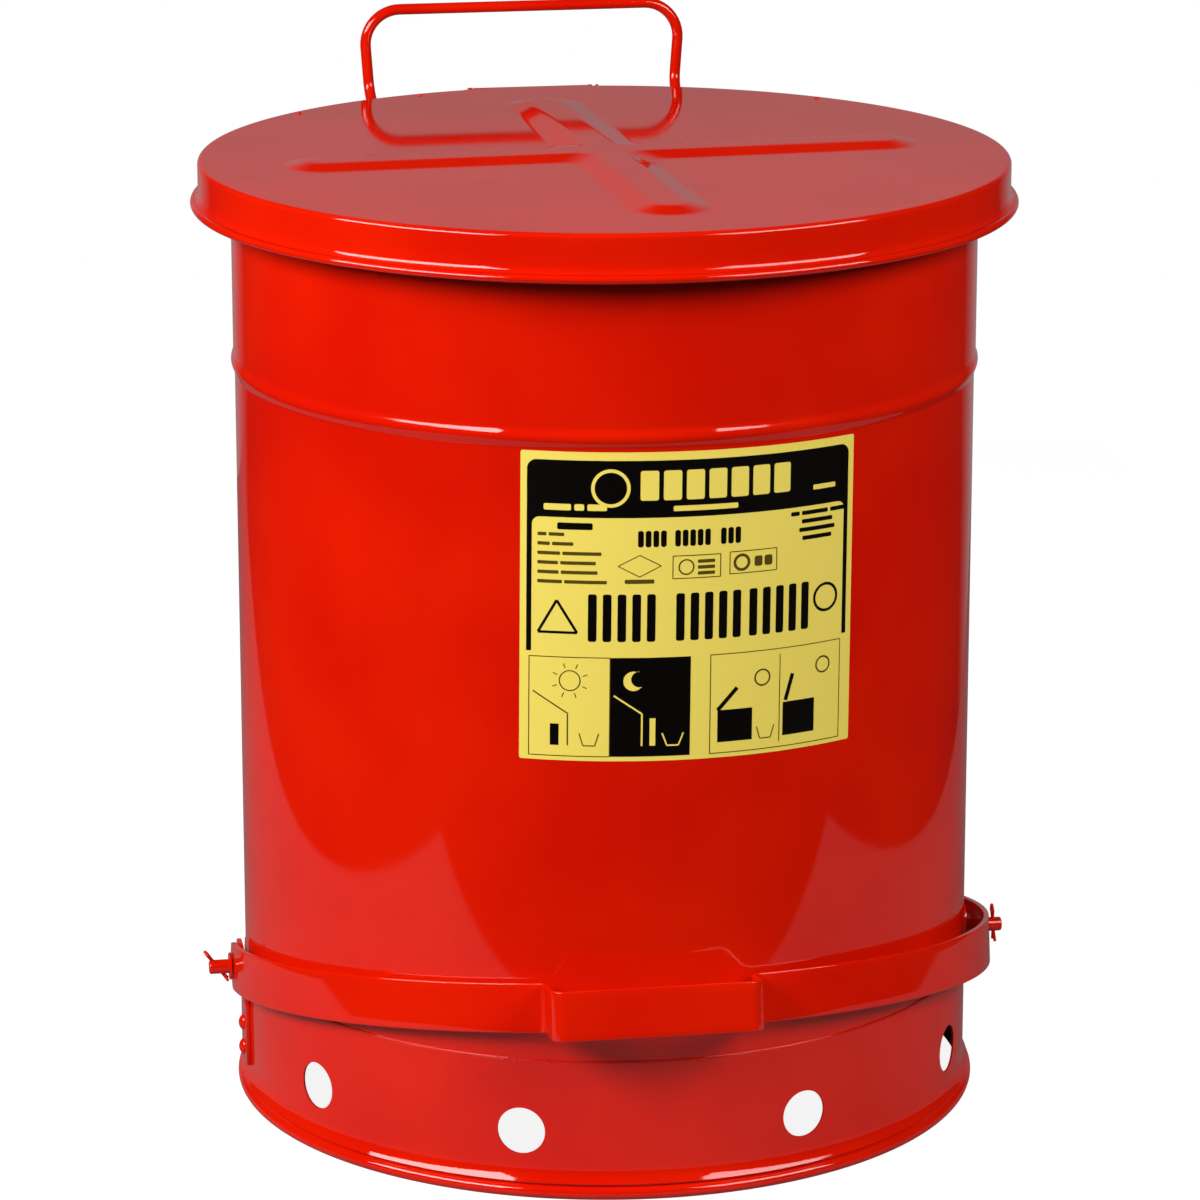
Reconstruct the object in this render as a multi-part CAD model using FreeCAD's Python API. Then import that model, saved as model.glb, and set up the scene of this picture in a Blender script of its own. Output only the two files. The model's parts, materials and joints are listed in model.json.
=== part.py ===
"""Foot-operated oily waste can, in millimetres.

The frame stands on the floor: +Z is up, the origin is on the can's axis at floor level, the pedal
faces -Y and the lid's hinge is at +Y. Angles around the can are counted from the front, towards +X.
"""
import FreeCAD
import Part
import math
import os

Vector = FreeCAD.Vector
UP = Vector(0, 0, 1)
ACROSS = Vector(1, 0, 0)
ALONG = Vector(0, 1, 0)

# ---- driving dimensions -------------------------------------------------------------------------
body_radius = 198.8          # outside of the body sheet
body_sheet = 0.8
body_top = 515.3             # top of the rolled rim
neck_step = 0.7              # the neck above the bead is this much wider than the body
rim_roll = 1.75              # radius of the rolled rim
bead_below_top = 107.3       # middle of the stiffening bead below the rim
bead_width = 12.5
bead_rise = 1.6              # how far the bead stands out of the body

ring_sheet = 1.0             # base ring that lifts the bottom off the floor
ring_step = 0.6              # ring's outside beyond the body's outside
bottom_height = 75.5         # top of the raised bottom
bottom_sheet = 1.0
bottom_flange = 14.5
hem_out = 4.6                # hem's outside beyond the ring's outside
hem_roll = 3.6
hem_flat = 0.1               # how deep the floor flattens the hem
flare_start = 15.0
vent_diameter = 25.4
vent_height = 36.0
vent_angles = (22.2, 59.9, 120.0, 158.0)

lid_side_gap = 13.2          # inside of the lid's skirt off the rim's outside
lid_sheet = 0.9
lid_depth = 25.0             # top face to the lowest point of the rolled edge
lid_corner = 2.5
lid_edge_out = 4.2           # rolled edge beyond the skirt
lid_edge_roll = 2.2
lid_gap = 0.3                # lid's underside above the rim
cross_rise = 3.0             # pressed cross on top of the lid
cross_foot_width = 42.0
cross_top_width = 30.0
cross_margin = 45.7          # lid's skirt beyond the end of a bar
cross_turn = 3.0             # degrees the cross is off square with the hinge
pip_radius = 1.5             # ends of the projection welds on the lid's rear edge
pip_rise = 1.0
pip_angles = (20.4, 44.5)
stiffener_sheet = 1.5
stiffener_width = 9.5
stiffener_half_angle = 48.0
edge_out_at_step, edge_out_at_foot = 0.45, 0.15   # lid edge's step, as shares of its overhang

pivot_height = 71.0          # pedal pivots
pivot_pin_radius = 3.9
pivot_pin_head = 1.2
pivot_running_gap = 0.06
pivot_pin_reach = 12.5       # pin's end beyond the strap
bracket_width = 25.0
bracket_sheet = 2.4
bracket_foot = 17.0
bracket_above_pin = 14.0     # head above the pedal pivots
bracket_joggle = 2.2
bracket_joggle_height = 52.0
bracket_joggle_length = 8.0
bracket_rivet_heights = (24.0, 38.0)

strap_height = 26.0
strap_sheet = 3.0
strap_gap = 8.7              # strap's inside off the body
strap_shift = 3.0            # the strap sits this far to the right on its pins
strap_rest_tilt = 10.4       # degrees, front up
strap_tail = 9.5             # strap past the left pin
strap_end_corner = 9.0
strap_rear_past = 12.0       # strap past the lift rod
tread_width = 111.0
tread_centre = -12.5
tread_step = 20.5            # tread ahead of the strap's own circle
tread_corner = 7.0

hinge_behind = 37.1          # hinge line behind the lid's rolled edge
hinge_drop = 13.5            # hinge line below the lid's top face
lid_travel = 60.0            # degrees
hinge_pin_radius = 3.0
hinge_running_gap = 0.05
hinge_barrel_radius = 6.0
hinge_barrel_half = 33.0
hinge_side_gap = 0.8
ear_sheet = 2.5
ear_eye = 6.2
ear_foot_drop = 64.0         # these four are below the hinge line
ear_neck_drop = 28.0
hinge_plate_foot_drop = 72.0
hinge_plate_head_drop = 18.0
hinge_plate_half = 46.0
hinge_plate_sheet = 2.0
hinge_rivet_inset = 12.0     # rivets from the plate's foot and head
leaf_sheet = 2.5
leaf_pad_sheet = 2.0
leaf_pad_half_angle = 7.5

push_back = 40.0             # push roll ahead of the hinge line, lid shut
push_down = 25.0             # push roll below the hinge line, lid shut
push_roll = 4.0
push_width = 24.0
push_sheet = 3.0
push_gap = 0.9               # lift pad below the push roll, lid shut

lift_radius = 3.2            # lift rod
lift_behind = 1.2            # rod off the strap's outside, at its nearest
lift_hook_gap = 1.0          # hook in the strap's hole
lift_bend = 6.0
lift_pad_size = (22.0, 14.0, 4.0)
lift_pad_cover = 1.0         # pad left over the rod's end
lift_collar_radius = 6.0
lift_collar_length = 9.0
lower_guide_height = 150.0
upper_guide_drop = 56.0      # upper guide below the hinge plate
guide_length = 16.0
guide_gap = 0.4
guide_wall = 1.6
guide_half_width = 22.0
guide_web_half = 5.0
guide_rivet_offset = 15.0

handle_radius = 3.1          # wire handle behind the lid
handle_above_lid = 38.4      # top bar above the lid's top face
handle_behind_lid = 45.1     # top bar behind the lid's rolled edge
handle_half = 93.2
handle_knee_half = 89.8
handle_turn = 0.72           # degrees the handle is off the middle, towards -X
handle_knee_drop = 8.5       # these three are below the lid's top face
handle_foot_top_drop = 57.5
handle_foot_drop = 89.5
handle_foot_half = 86.0
handle_corner = 20.0
handle_bend = 12.0
clamp_sheet = 1.4
clamp_height = 18.0
clamp_half_width = 15.0
clamp_rivet_offset = 9.5

label_width = 181.0          # measured around the body
label_height = 162.4
label_below_bead = 0.35
label_centre_angle = 4.0
label_sheet = 0.2

rivet_head = 4.6
rivet_rise = 2.6
rivet_shank = 2.3
rivet_tail = 1.0
small_rivet_scale = 0.62
washer_radius = 7.5
washer_sheet = 1.2
washer_gap = 0.3
cotter_radius = 1.2
cotter_gap = 0.05
cotter_spread = 24.0         # degrees each leg is bent out
cotter_reach = 8.0           # cotter outside the strap or ear
hinge_cotter_lean = -70.0    # the hinge's cotter lies back, under the lid's sight line

# ---- sizes that follow --------------------------------------------------------------------------
bead_height = body_top - bead_below_top
body_inner = body_radius - body_sheet
neck_radius = body_radius + neck_step
ring_radius = body_radius + ring_step
ring_inner = ring_radius - ring_sheet
hem_radius = ring_radius + hem_out
lid_under = body_top + lid_gap
lid_top = lid_under + lid_sheet
rim_radius = neck_radius - body_sheet / 2 + 2 * rim_roll
lid_radius = rim_radius + lid_side_gap + lid_sheet
lid_edge_radius = lid_radius + lid_edge_out
lid_edge_height = lid_top - lid_depth + lid_edge_roll
cross_reach = lid_radius - cross_margin
strap_inner = body_radius + strap_gap
strap_outer = strap_inner + strap_sheet
strap_middle = strap_inner + strap_sheet / 2
tread_front = strap_outer + tread_step
bracket_head = pivot_height + bracket_above_pin
hinge_y = lid_edge_radius + hinge_behind
hinge_z = lid_top - hinge_drop
ear_foot, ear_neck = hinge_z - ear_foot_drop, hinge_z - ear_neck_drop
hinge_plate_foot, hinge_plate_head = hinge_z - hinge_plate_foot_drop, hinge_z - hinge_plate_head_drop
hinge_rivet_heights = (hinge_plate_foot + hinge_rivet_inset, hinge_plate_head - hinge_rivet_inset)
guide_heights = (lower_guide_height, hinge_plate_foot - upper_guide_drop)
handle_height, handle_behind = lid_top + handle_above_lid, lid_edge_radius + handle_behind_lid
handle_knee_height = lid_top - handle_knee_drop
handle_foot_top, handle_foot_bottom = lid_top - handle_foot_top_drop, lid_top - handle_foot_drop
label_centre_height = bead_height - bead_width / 2 - label_below_bead - label_height / 2
ear_inner = hinge_barrel_half + hinge_side_gap
push_arm = math.hypot(push_back, push_down)
push_start = math.degrees(math.atan2(push_down, push_back))
lift_travel = push_arm * (
    math.sin(math.radians(push_start)) + math.sin(math.radians(lid_travel - push_start)))
rest_tilt = math.radians(strap_rest_tilt)
strap_travel = strap_rest_tilt + math.degrees(
    math.asin(lift_travel / strap_middle - math.sin(rest_tilt)))
lift_y = strap_outer + strap_height / 2 * math.sin(rest_tilt) + lift_behind + lift_radius
hook_height = pivot_height - strap_middle * math.sin(rest_tilt)
lift_pad_top = hinge_z - push_down - push_roll - push_gap


# ---- helpers ------------------------------------------------------------------------------------
def around(angle, radius, height):
    """The point at an angle from the front, towards +X."""
    turn = math.radians(angle)
    return Vector(radius * math.sin(turn), -radius * math.cos(turn), height)


def turned(shape, angle):
    """A shape built facing +X, turned to face an angle from the front."""
    copy = shape.copy()
    copy.rotate(Vector(), UP, angle - 90)
    return copy


def revolved(*points):
    """A ring or disc from its outline as (radius, height); an arc is (middle, end)."""
    edges = []
    here = Vector(points[0][0], 0, points[0][1])
    for point in points[1:] + points[:1]:
        arc = isinstance(point[0], tuple)
        end = point[1] if arc else point
        there = Vector(end[0], 0, end[1])
        if arc:
            edges.append(Part.Arc(here, Vector(point[0][0], 0, point[0][1]), there).toShape())
        else:
            edges.append(Part.LineSegment(here, there).toShape())
        here = there
    return Part.Face(Part.Wire(edges)).revolve(Vector(), UP, 360)


def curved_plate(inner, outer, low, high, angle, half_angle):
    """A plate that follows the can's curve."""
    slab = Part.makeCylinder(outer, high - low, Vector(0, 0, low), UP, 2 * half_angle)
    slab = slab.cut(Part.makeCylinder(inner, high - low, Vector(0, 0, low)))
    slab.rotate(Vector(), UP, angle - half_angle - 90)
    return slab


def radial_hole(radius, angle, height, start, end):
    """A cutter that goes straight out from the axis."""
    return Part.makeCylinder(radius, end - start, around(angle, start, height), around(angle, 1, 0))


def half_angle_of(half_width, radius):
    return math.degrees(math.asin(half_width / radius))


def rivet(angle, height, face, back, scale=1.0):
    """A domed rivet from an outer face to the inner face of what it holds."""
    head, rise, shank = rivet_head * scale, rivet_rise * scale, rivet_shank * scale
    ball = (head * head + rise * rise) / (2 * rise)
    dome = Part.makeSphere(ball, Vector(face + rise - ball, 0, height))
    behind = Part.makeBox(2 * ball, 2 * ball, 2 * ball, Vector(face - 2 * ball, -ball, height - ball))
    dome = dome.cut(behind)
    tail_face = math.sqrt(back * back - head * head)
    tail = Part.makeCylinder(head, rivet_tail, Vector(tail_face - rivet_tail, 0, height), ACROSS)
    stem = Part.makeCylinder(shank, face - tail_face, Vector(tail_face, 0, height), ACROSS)
    return turned(dome.fuse([stem, tail]).removeSplitter(), angle)


def rivet_hole(angle, height, scale=1.0):
    return radial_hole(rivet_shank * scale, angle, height, body_radius / 2, 2 * body_radius)


def rounded_wire(points, radii):
    """Straight runs joined by tangent arcs, one radius for each inner point."""
    edges = []
    here = points[0]
    for before, corner, after, radius in zip(points, points[1:], points[2:], radii):
        back, ahead = (before - corner).normalize(), (after - corner).normalize()
        half = back.getAngle(ahead) / 2
        reach = radius / math.tan(half)
        start, end = corner + back * reach, corner + ahead * reach
        bisector = (back + ahead).normalize()
        middle = corner + bisector * (radius / math.sin(half) - radius)
        edges.append(Part.LineSegment(here, start).toShape())
        edges.append(Part.Arc(start, middle, end).toShape())
        here = end
    edges.append(Part.LineSegment(here, points[-1]).toShape())
    return Part.Wire(edges)


def bent_bar(points, radii, radius):
    """A round bar bent along a path."""
    path = rounded_wire(points, radii)
    section = Part.Face(Part.Wire(Part.makeCircle(radius, points[0], points[1] - points[0])))
    return path.makePipe(section)


def split_cotter(legs=7.0, top=5.0):
    """A split cotter along Z, through the origin: an eye above, two spread legs below."""
    stem = Part.makeCylinder(cotter_radius, legs + top, Vector(0, 0, -legs))
    eye_centre = Vector(0, 0, top + 2.4 * cotter_radius)
    eye = Part.makeTorus(2.2 * cotter_radius, 0.75 * cotter_radius, eye_centre, ACROSS)
    spread = []
    lean = math.radians(cotter_spread)
    for side in (-1, 1):
        slant = Vector(0, side * math.sin(lean), -math.cos(lean))
        spread.append(Part.makeCylinder(0.55 * cotter_radius, legs, Vector(0, 0, 1 - legs), slant))
    return stem.fuse([eye] + spread)


# ---- the can ------------------------------------------------------------------------------------
def body_shell():
    bead_low, bead_high = bead_height - bead_width / 2, bead_height + bead_width / 2
    rim_centre = body_top - rim_roll
    wall = revolved(
        (body_radius, bottom_height), (body_radius, bead_low),
        ((body_radius + bead_rise, bead_height), (neck_radius, bead_high)),
        (neck_radius, rim_centre), (neck_radius - body_sheet, rim_centre),
        (neck_radius - body_sheet, bead_high),
        ((body_inner + bead_rise, bead_height), (body_inner, bead_low)),
        (body_inner, bottom_height))
    roll = Part.makeTorus(neck_radius - body_sheet / 2 + rim_roll, rim_roll, Vector(0, 0, rim_centre))
    shell = wall.fuse(roll)
    for height in hinge_rivet_heights:
        for side in (-1, 1):
            shell = shell.cut(rivet_hole(hinge_rivet_angle(side), height))
    for side in (-1, 1):
        for angle in clamp_rivet_angles(side):
            shell = shell.cut(rivet_hole(angle, clamp_centre(), small_rivet_scale))
        for height in guide_heights:
            shell = shell.cut(rivet_hole(guide_rivet_angle(side), height, small_rivet_scale))
    return shell


def can_bottom():
    disc = Part.makeCylinder(ring_inner, bottom_sheet, Vector(0, 0, bottom_height - bottom_sheet))
    flange_foot = bottom_height - bottom_sheet - bottom_flange
    flange = Part.makeCylinder(ring_inner, bottom_flange, Vector(0, 0, flange_foot))
    hollow = Part.makeCylinder(ring_inner - bottom_sheet, bottom_flange, Vector(0, 0, flange_foot))
    flange = flange.cut(hollow)
    return disc.fuse(flange).removeSplitter()


def base_ring():
    hem_middle = hem_roll - hem_flat
    groove = 2 * hem_middle
    skirt = revolved(
        (ring_radius, bottom_height), (ring_radius, flare_start),
        ((ring_radius + 0.28 * hem_out, flare_start - 3.8), (ring_radius + 0.72 * hem_out, groove + 1.8)),
        (ring_radius + 0.46 * hem_out, groove), (ring_inner + 0.2, groove),
        (ring_inner, flare_start - 3), (ring_inner, bottom_height))
    hem = Part.makeTorus(hem_radius - hem_roll, hem_roll, Vector(0, 0, hem_middle))
    below = Part.makeCylinder(2 * hem_radius, hem_roll, Vector(0, 0, -hem_roll))
    ring = skirt.fuse(hem).cut(below)
    for side in (-1, 1):
        for angle in vent_angles:
            vent = radial_hole(vent_diameter / 2, side * angle, vent_height, ring_inner / 2, 2 * hem_radius)
            ring = ring.cut(vent)
        for height in bracket_rivet_heights:
            ring = ring.cut(rivet_hole(side * 90, height))
    return ring


def instruction_label():
    half_angle = math.degrees(label_width / 2 / body_radius)
    low = label_centre_height - label_height / 2
    return curved_plate(
        body_radius, body_radius + label_sheet, low, low + label_height, label_centre_angle, half_angle)


# ---- the lid ------------------------------------------------------------------------------------
def stadium(half_length, width, height):
    """A bar's rounded outline along X at a height."""
    half = half_length - width / 2
    corners = [Vector(-half, -width / 2, height), Vector(half, -width / 2, height),
               Vector(half, width / 2, height), Vector(-half, width / 2, height)]
    tips = [Vector(half + width / 2, 0, height), Vector(-half - width / 2, 0, height)]
    return Part.Wire([
        Part.LineSegment(corners[0], corners[1]).toShape(),
        Part.Arc(corners[1], tips[0], corners[2]).toShape(),
        Part.LineSegment(corners[2], corners[3]).toShape(),
        Part.Arc(corners[3], tips[1], corners[0]).toShape()])


def pressed_cross(face):
    """The raised cross above a face of the sheet."""
    slope = (cross_foot_width - cross_top_width) / 2
    foot = stadium(cross_reach, cross_foot_width, face)
    crown = stadium(cross_reach - slope, cross_top_width, face + cross_rise)
    arm = Part.makeLoft([foot, crown], True, True)
    other = arm.copy()
    other.rotate(Vector(), UP, 90)
    cross = arm.fuse(other)
    cross.rotate(Vector(), UP, cross_turn)
    return cross


def lid_pan():
    inner = lid_radius - lid_sheet
    turn = lid_corner * (1 - math.sqrt(0.5))
    bend = (lid_corner - lid_sheet) * (1 - math.sqrt(0.5))
    skirt_foot = lid_edge_height + 2 * lid_edge_roll
    pan = revolved(
        (0, lid_top), (lid_radius - lid_corner, lid_top),
        ((lid_radius - turn, lid_top - turn), (lid_radius, lid_top - lid_corner)),
        (lid_radius, skirt_foot),
        (lid_radius + edge_out_at_step * lid_edge_out, lid_edge_height + 0.9 * lid_edge_roll),
        (lid_radius + edge_out_at_foot * lid_edge_out, lid_edge_height), (inner, skirt_foot - 0.4),
        (inner, lid_top - lid_corner),
        ((inner - bend, lid_under - bend), (lid_radius - lid_corner, lid_under)), (0, lid_under))
    edge = Part.makeTorus(lid_edge_radius - lid_edge_roll, lid_edge_roll, Vector(0, 0, lid_edge_height))
    return pan.fuse([edge, pressed_cross(lid_top)]).cut(pressed_cross(lid_under))


def stiffener_middle():
    return lid_radius - lid_corner - stiffener_width / 2


def lid_stiffener():
    """The strip welded under the lid's rear edge."""
    middle = stiffener_middle()
    return curved_plate(
        middle - stiffener_width / 2, middle + stiffener_width / 2,
        lid_under - stiffener_sheet, lid_under, 180, stiffener_half_angle)


def lid_weld_pips():
    ball = (pip_radius ** 2 + pip_rise ** 2) / (2 * pip_rise)
    pips = []
    for side in (-1, 1):
        for angle in pip_angles:
            spot = around(180 + side * angle, stiffener_middle(), lid_top)
            cap = Part.makeSphere(ball, spot + Vector(0, 0, pip_rise - ball))
            below = Part.makeBox(4 * ball, 4 * ball, 4 * ball, spot - Vector(2 * ball, 2 * ball, 4 * ball))
            pips.append(cap.cut(below))
    return Part.makeCompound(pips)


def lid_hinge_leaf():
    """Barrel, web and pad on the lid's skirt, with the push arm below them."""
    axis = Vector(-hinge_barrel_half, hinge_y, hinge_z)
    barrel = Part.makeCylinder(hinge_barrel_radius, 2 * hinge_barrel_half, axis, ACROSS)
    pad_half = lid_radius * math.sin(math.radians(leaf_pad_half_angle))
    pad = curved_plate(
        lid_radius, lid_radius + leaf_pad_sheet, hinge_z - 2, lid_top - lid_corner, 180, leaf_pad_half_angle)
    web_top = hinge_z + hinge_barrel_radius - 0.5
    web_front = math.sqrt(lid_radius ** 2 - pad_half ** 2) + 0.8 * leaf_pad_sheet
    web_corner = Vector(-pad_half, web_front, web_top - leaf_sheet)
    web = Part.makeBox(2 * pad_half, hinge_y - web_front, leaf_sheet, web_corner)
    web = web.cut(Part.makeCylinder(lid_radius, 3 * lid_depth, Vector(0, 0, hinge_z - lid_depth)))
    arm = Part.makeBox(push_width, push_arm, push_sheet, Vector(-push_width / 2, -push_arm, -push_sheet / 2))
    arm.rotate(Vector(), ACROSS, push_start)
    arm.translate(Vector(0, hinge_y, hinge_z))
    roll_axis = Vector(-push_width / 2, hinge_y - push_back, hinge_z - push_down)
    roll = Part.makeCylinder(push_roll, push_width, roll_axis, ACROSS)
    leaf = barrel.fuse([pad, web, arm, roll])
    bore = Part.makeCylinder(hinge_pin_radius + hinge_running_gap, 2 * hinge_barrel_half, axis, ACROSS)
    return leaf.cut(bore)


# ---- the lid's hinge on the body ----------------------------------------------------------------
def hinge_rivet_angle(side):
    return 180 + side * half_angle_of((hinge_plate_half + ear_inner + ear_sheet) / 2, neck_radius)


def hinge_bracket():
    half_angle = half_angle_of(hinge_plate_half, neck_radius)
    bracket = curved_plate(
        neck_radius, neck_radius + hinge_plate_sheet, hinge_plate_foot, hinge_plate_head, 180, half_angle)
    root = math.sqrt((neck_radius + hinge_plate_sheet / 2) ** 2 - (ear_inner + ear_sheet / 2) ** 2)
    clear = hinge_z - hinge_barrel_radius - lid_edge_roll - 2
    outline = [
        (root, ear_foot), (root, ear_neck), (lid_edge_radius + 5, min(clear, ear_neck + 7)),
        (hinge_y - 0.85 * ear_eye, hinge_z + 0.5 * ear_eye),
        (hinge_y + 0.8 * ear_eye, hinge_z - 0.6 * ear_eye)]
    for side in (-1, 1):
        start = ear_inner if side > 0 else -ear_inner - ear_sheet
        corners = [Vector(start, y, z) for y, z in outline + outline[:1]]
        ear = Part.Face(Part.makePolygon(corners)).extrude(Vector(ear_sheet, 0, 0))
        eye = Part.makeCylinder(ear_eye, ear_sheet, Vector(start, hinge_y, hinge_z), ACROSS)
        bracket = bracket.fuse([ear, eye])
        for height in hinge_rivet_heights:
            bracket = bracket.cut(rivet_hole(hinge_rivet_angle(side), height))
    reach = ear_inner + ear_sheet
    bore = Part.makeCylinder(hinge_pin_radius, 2 * reach, Vector(-reach, hinge_y, hinge_z), ACROSS)
    return bracket.cut(bore).removeSplitter()


def hinge_bracket_rivets():
    back = neck_radius - body_sheet
    face = neck_radius + hinge_plate_sheet
    return Part.makeCompound([
        rivet(hinge_rivet_angle(side), height, face, back)
        for side in (-1, 1) for height in hinge_rivet_heights])


def hinge_pin():
    """A headed pin, held by a cotter at its far end."""
    start = -ear_inner - ear_sheet
    length = 2 * (ear_inner + ear_sheet) + cotter_reach
    pin = Part.makeCylinder(hinge_pin_radius, length, Vector(start, hinge_y, hinge_z), ACROSS)
    head = Part.makeCylinder(1.7 * hinge_pin_radius, 2.2, Vector(start - 2.2, hinge_y, hinge_z), ACROSS)
    hole = Part.makeCylinder(cotter_radius + cotter_gap, 20, Vector(0, 0, -10))
    hole.rotate(Vector(), ACROSS, hinge_cotter_lean)
    hole.translate(hinge_cotter_place())
    return pin.fuse(head).cut(hole)


def hinge_cotter_place():
    return Vector(ear_inner + ear_sheet + cotter_reach / 2, hinge_y, hinge_z)


def hinge_cotter():
    cotter = split_cotter()
    cotter.rotate(Vector(), ACROSS, hinge_cotter_lean)
    cotter.translate(hinge_cotter_place())
    return cotter


# ---- the pedal ----------------------------------------------------------------------------------
def pivot_bracket(side):
    """A joggled strip riveted to the base ring, with the pivot at its head."""
    half_angle = half_angle_of(bracket_width / 2, ring_radius)
    low, bend = bracket_foot, bracket_joggle_height
    upper = bend + bracket_joggle_length
    inner, outer = ring_radius, ring_radius + bracket_sheet
    strip = revolved(
        (inner, low), (outer, low), (outer, bend), (outer + bracket_joggle, upper),
        (outer + bracket_joggle, bracket_head), (inner + bracket_joggle, bracket_head),
        (inner + bracket_joggle, upper), (inner, bend))
    wedge = Part.makeCylinder(2 * outer, bracket_head, Vector(), UP, 2 * half_angle)
    wedge.rotate(Vector(), UP, -half_angle)
    strip = strip.common(wedge)
    strip = strip.makeFillet(0.35 * bracket_width, head_corners(strip))
    strip = turned(strip, side * 90)
    for height in bracket_rivet_heights:
        strip = strip.cut(rivet_hole(side * 90, height))
    return strip.cut(radial_hole(pivot_pin_radius, side * 90, pivot_height, body_radius, 2 * body_radius))


def head_corners(strip):
    """The two edges across the sheet at the strip's upper corners."""
    corners = []
    for edge in strip.Edges:
        ends = [vertex.Point for vertex in edge.Vertexes]
        high = all(abs(end.z - bracket_head) < 0.01 for end in ends)
        if high and edge.Length < 1.5 * bracket_sheet:
            corners.append(edge)
    return corners


def bracket_rivets(side):
    face = ring_radius + bracket_sheet
    return Part.makeCompound([
        rivet(side * 90, height, face, ring_inner) for height in bracket_rivet_heights])


def strap_face(side):
    """Outside of the strap at a pivot, counted from the can's axis."""
    return strap_outer + side * strap_shift


def pin_end(side):
    return strap_face(side) + pivot_pin_reach


def pivot_pin(side):
    """Headed pin through the bracket; its end is drilled for the cotter."""
    start = ring_radius + bracket_joggle
    pin = Part.makeCylinder(pivot_pin_radius, pin_end(side) - start, Vector(start, 0, pivot_height), ACROSS)
    head_radius = 1.5 * pivot_pin_radius
    head_face = math.sqrt(start ** 2 - head_radius ** 2)
    head_back = Vector(head_face - pivot_pin_head, 0, pivot_height)
    head = Part.makeCylinder(head_radius, pivot_pin_head, head_back, ACROSS)
    neck = Part.makeCylinder(pivot_pin_radius, start - head_face, Vector(head_face, 0, pivot_height), ACROSS)
    hole = Part.makeCylinder(cotter_radius + cotter_gap, 20, Vector(0, 0, -10))
    hole.rotate(Vector(), ALONG, cotter_lean(side))
    hole.translate(Vector(strap_face(side) + cotter_reach, 0, pivot_height))
    return turned(pin.fuse([head, neck]).removeSplitter().cut(hole), side * 90)


def cotter_lean(side):
    """The left cotter sits askew, its eye outwards; the right one stands nearly upright."""
    return -4.0 if side > 0 else 37.0


def pivot_cotter(side):
    cotter = split_cotter(5.5, 6.0)
    cotter.rotate(Vector(), ALONG, cotter_lean(side))
    cotter.translate(Vector(strap_face(side) + cotter_reach, 0, pivot_height))
    return turned(cotter, side * 90)


def pivot_washer(side):
    start = Vector(strap_face(side) + washer_gap, 0, pivot_height)
    washer = Part.makeCylinder(washer_radius, washer_sheet, start, ACROSS)
    return turned(washer.cut(Part.makeCylinder(pivot_pin_radius, washer_sheet, start, ACROSS)), side * 90)


def strap_corner(edge, x, y):
    """Whether an upright edge of the strap stands at a place."""
    ends = [vertex.Point for vertex in edge.Vertexes]
    return (len(ends) == 2 and abs(ends[0].z - ends[1].z) > strap_height / 2
            and all(abs(end.x - x) < 0.05 and abs(end.y - y) < 0.05 for end in ends))


def foot_strap():
    """One bent strap: tread in front, round both sides, and on the right round to the lift rod."""
    low = -strap_height / 2
    left_end = -90 - math.degrees(strap_tail / strap_middle)
    rear_end = 180 + math.degrees(strap_rear_past / strap_middle)
    band = curved_plate(
        strap_inner, strap_outer, low, -low, (left_end + rear_end) / 2, (rear_end - left_end) / 2)
    left, right = tread_centre - tread_width / 2, tread_centre + tread_width / 2
    gap_corner = Vector(left, -2 * strap_outer, low)
    band = band.cut(Part.makeBox(tread_width, 2 * strap_outer, strap_height, gap_corner))

    def riser_foot(x, radius):
        return -math.sqrt(radius ** 2 - x ** 2)

    outer_edge, inner_edge = [], []
    for x, inward in ((left, strap_sheet), (right, -strap_sheet)):
        outer_edge.append(Vector(x, riser_foot(x, strap_inner), low))
        inner_edge.append(Vector(x + inward, riser_foot(x, strap_inner), low))
    front, back = -tread_front, -tread_front + strap_sheet
    tread = [
        outer_edge[0], Vector(left, front, low), Vector(right, front, low), outer_edge[1],
        inner_edge[1], Vector(right - strap_sheet, back, low), Vector(left + strap_sheet, back, low),
        inner_edge[0], outer_edge[0]]
    step = Part.Face(Part.makePolygon(tread)).extrude(Vector(0, 0, strap_height))
    strap = band.fuse(step).removeSplitter()
    outer_corners = [(left, front), (right, front)]
    inner_corners = [(left + strap_sheet, back), (right - strap_sheet, back)]
    outside_bends = [(left + strap_sheet, riser_foot(left, strap_inner)),
                     (right - strap_sheet, riser_foot(right, strap_inner))]
    inside_bends = [(left, riser_foot(left, strap_outer)), (right, riser_foot(right, strap_outer))]
    for places, radius in (
            (outer_corners, tread_corner), (inner_corners, tread_corner - strap_sheet),
            (outside_bends, strap_sheet * 0.9), (inside_bends, tread_corner - strap_sheet)):
        edges = [edge for edge in strap.Edges if any(strap_corner(edge, *place) for place in places)]
        strap = strap.makeFillet(radius, edges)
    strap = strap.cut(end_corner_cut(left_end, -1)).cut(end_corner_cut(rear_end, 1))
    strap.translate(Vector(strap_shift, 0, 0))
    pin_hole = Part.makeCylinder(
        pivot_pin_radius + pivot_running_gap, 4 * strap_outer, Vector(-2 * strap_outer, 0, 0), ACROSS)
    hook_hole = Part.makeCylinder(
        lift_radius + lift_hook_gap, strap_outer, Vector(0, strap_outer / 2, 0), Vector(0, 1, 0))
    strap = strap.cut(pin_hole).cut(hook_hole)
    strap.rotate(Vector(), ACROSS, -strap_rest_tilt)
    strap.translate(Vector(0, 0, pivot_height))
    return strap


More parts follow.
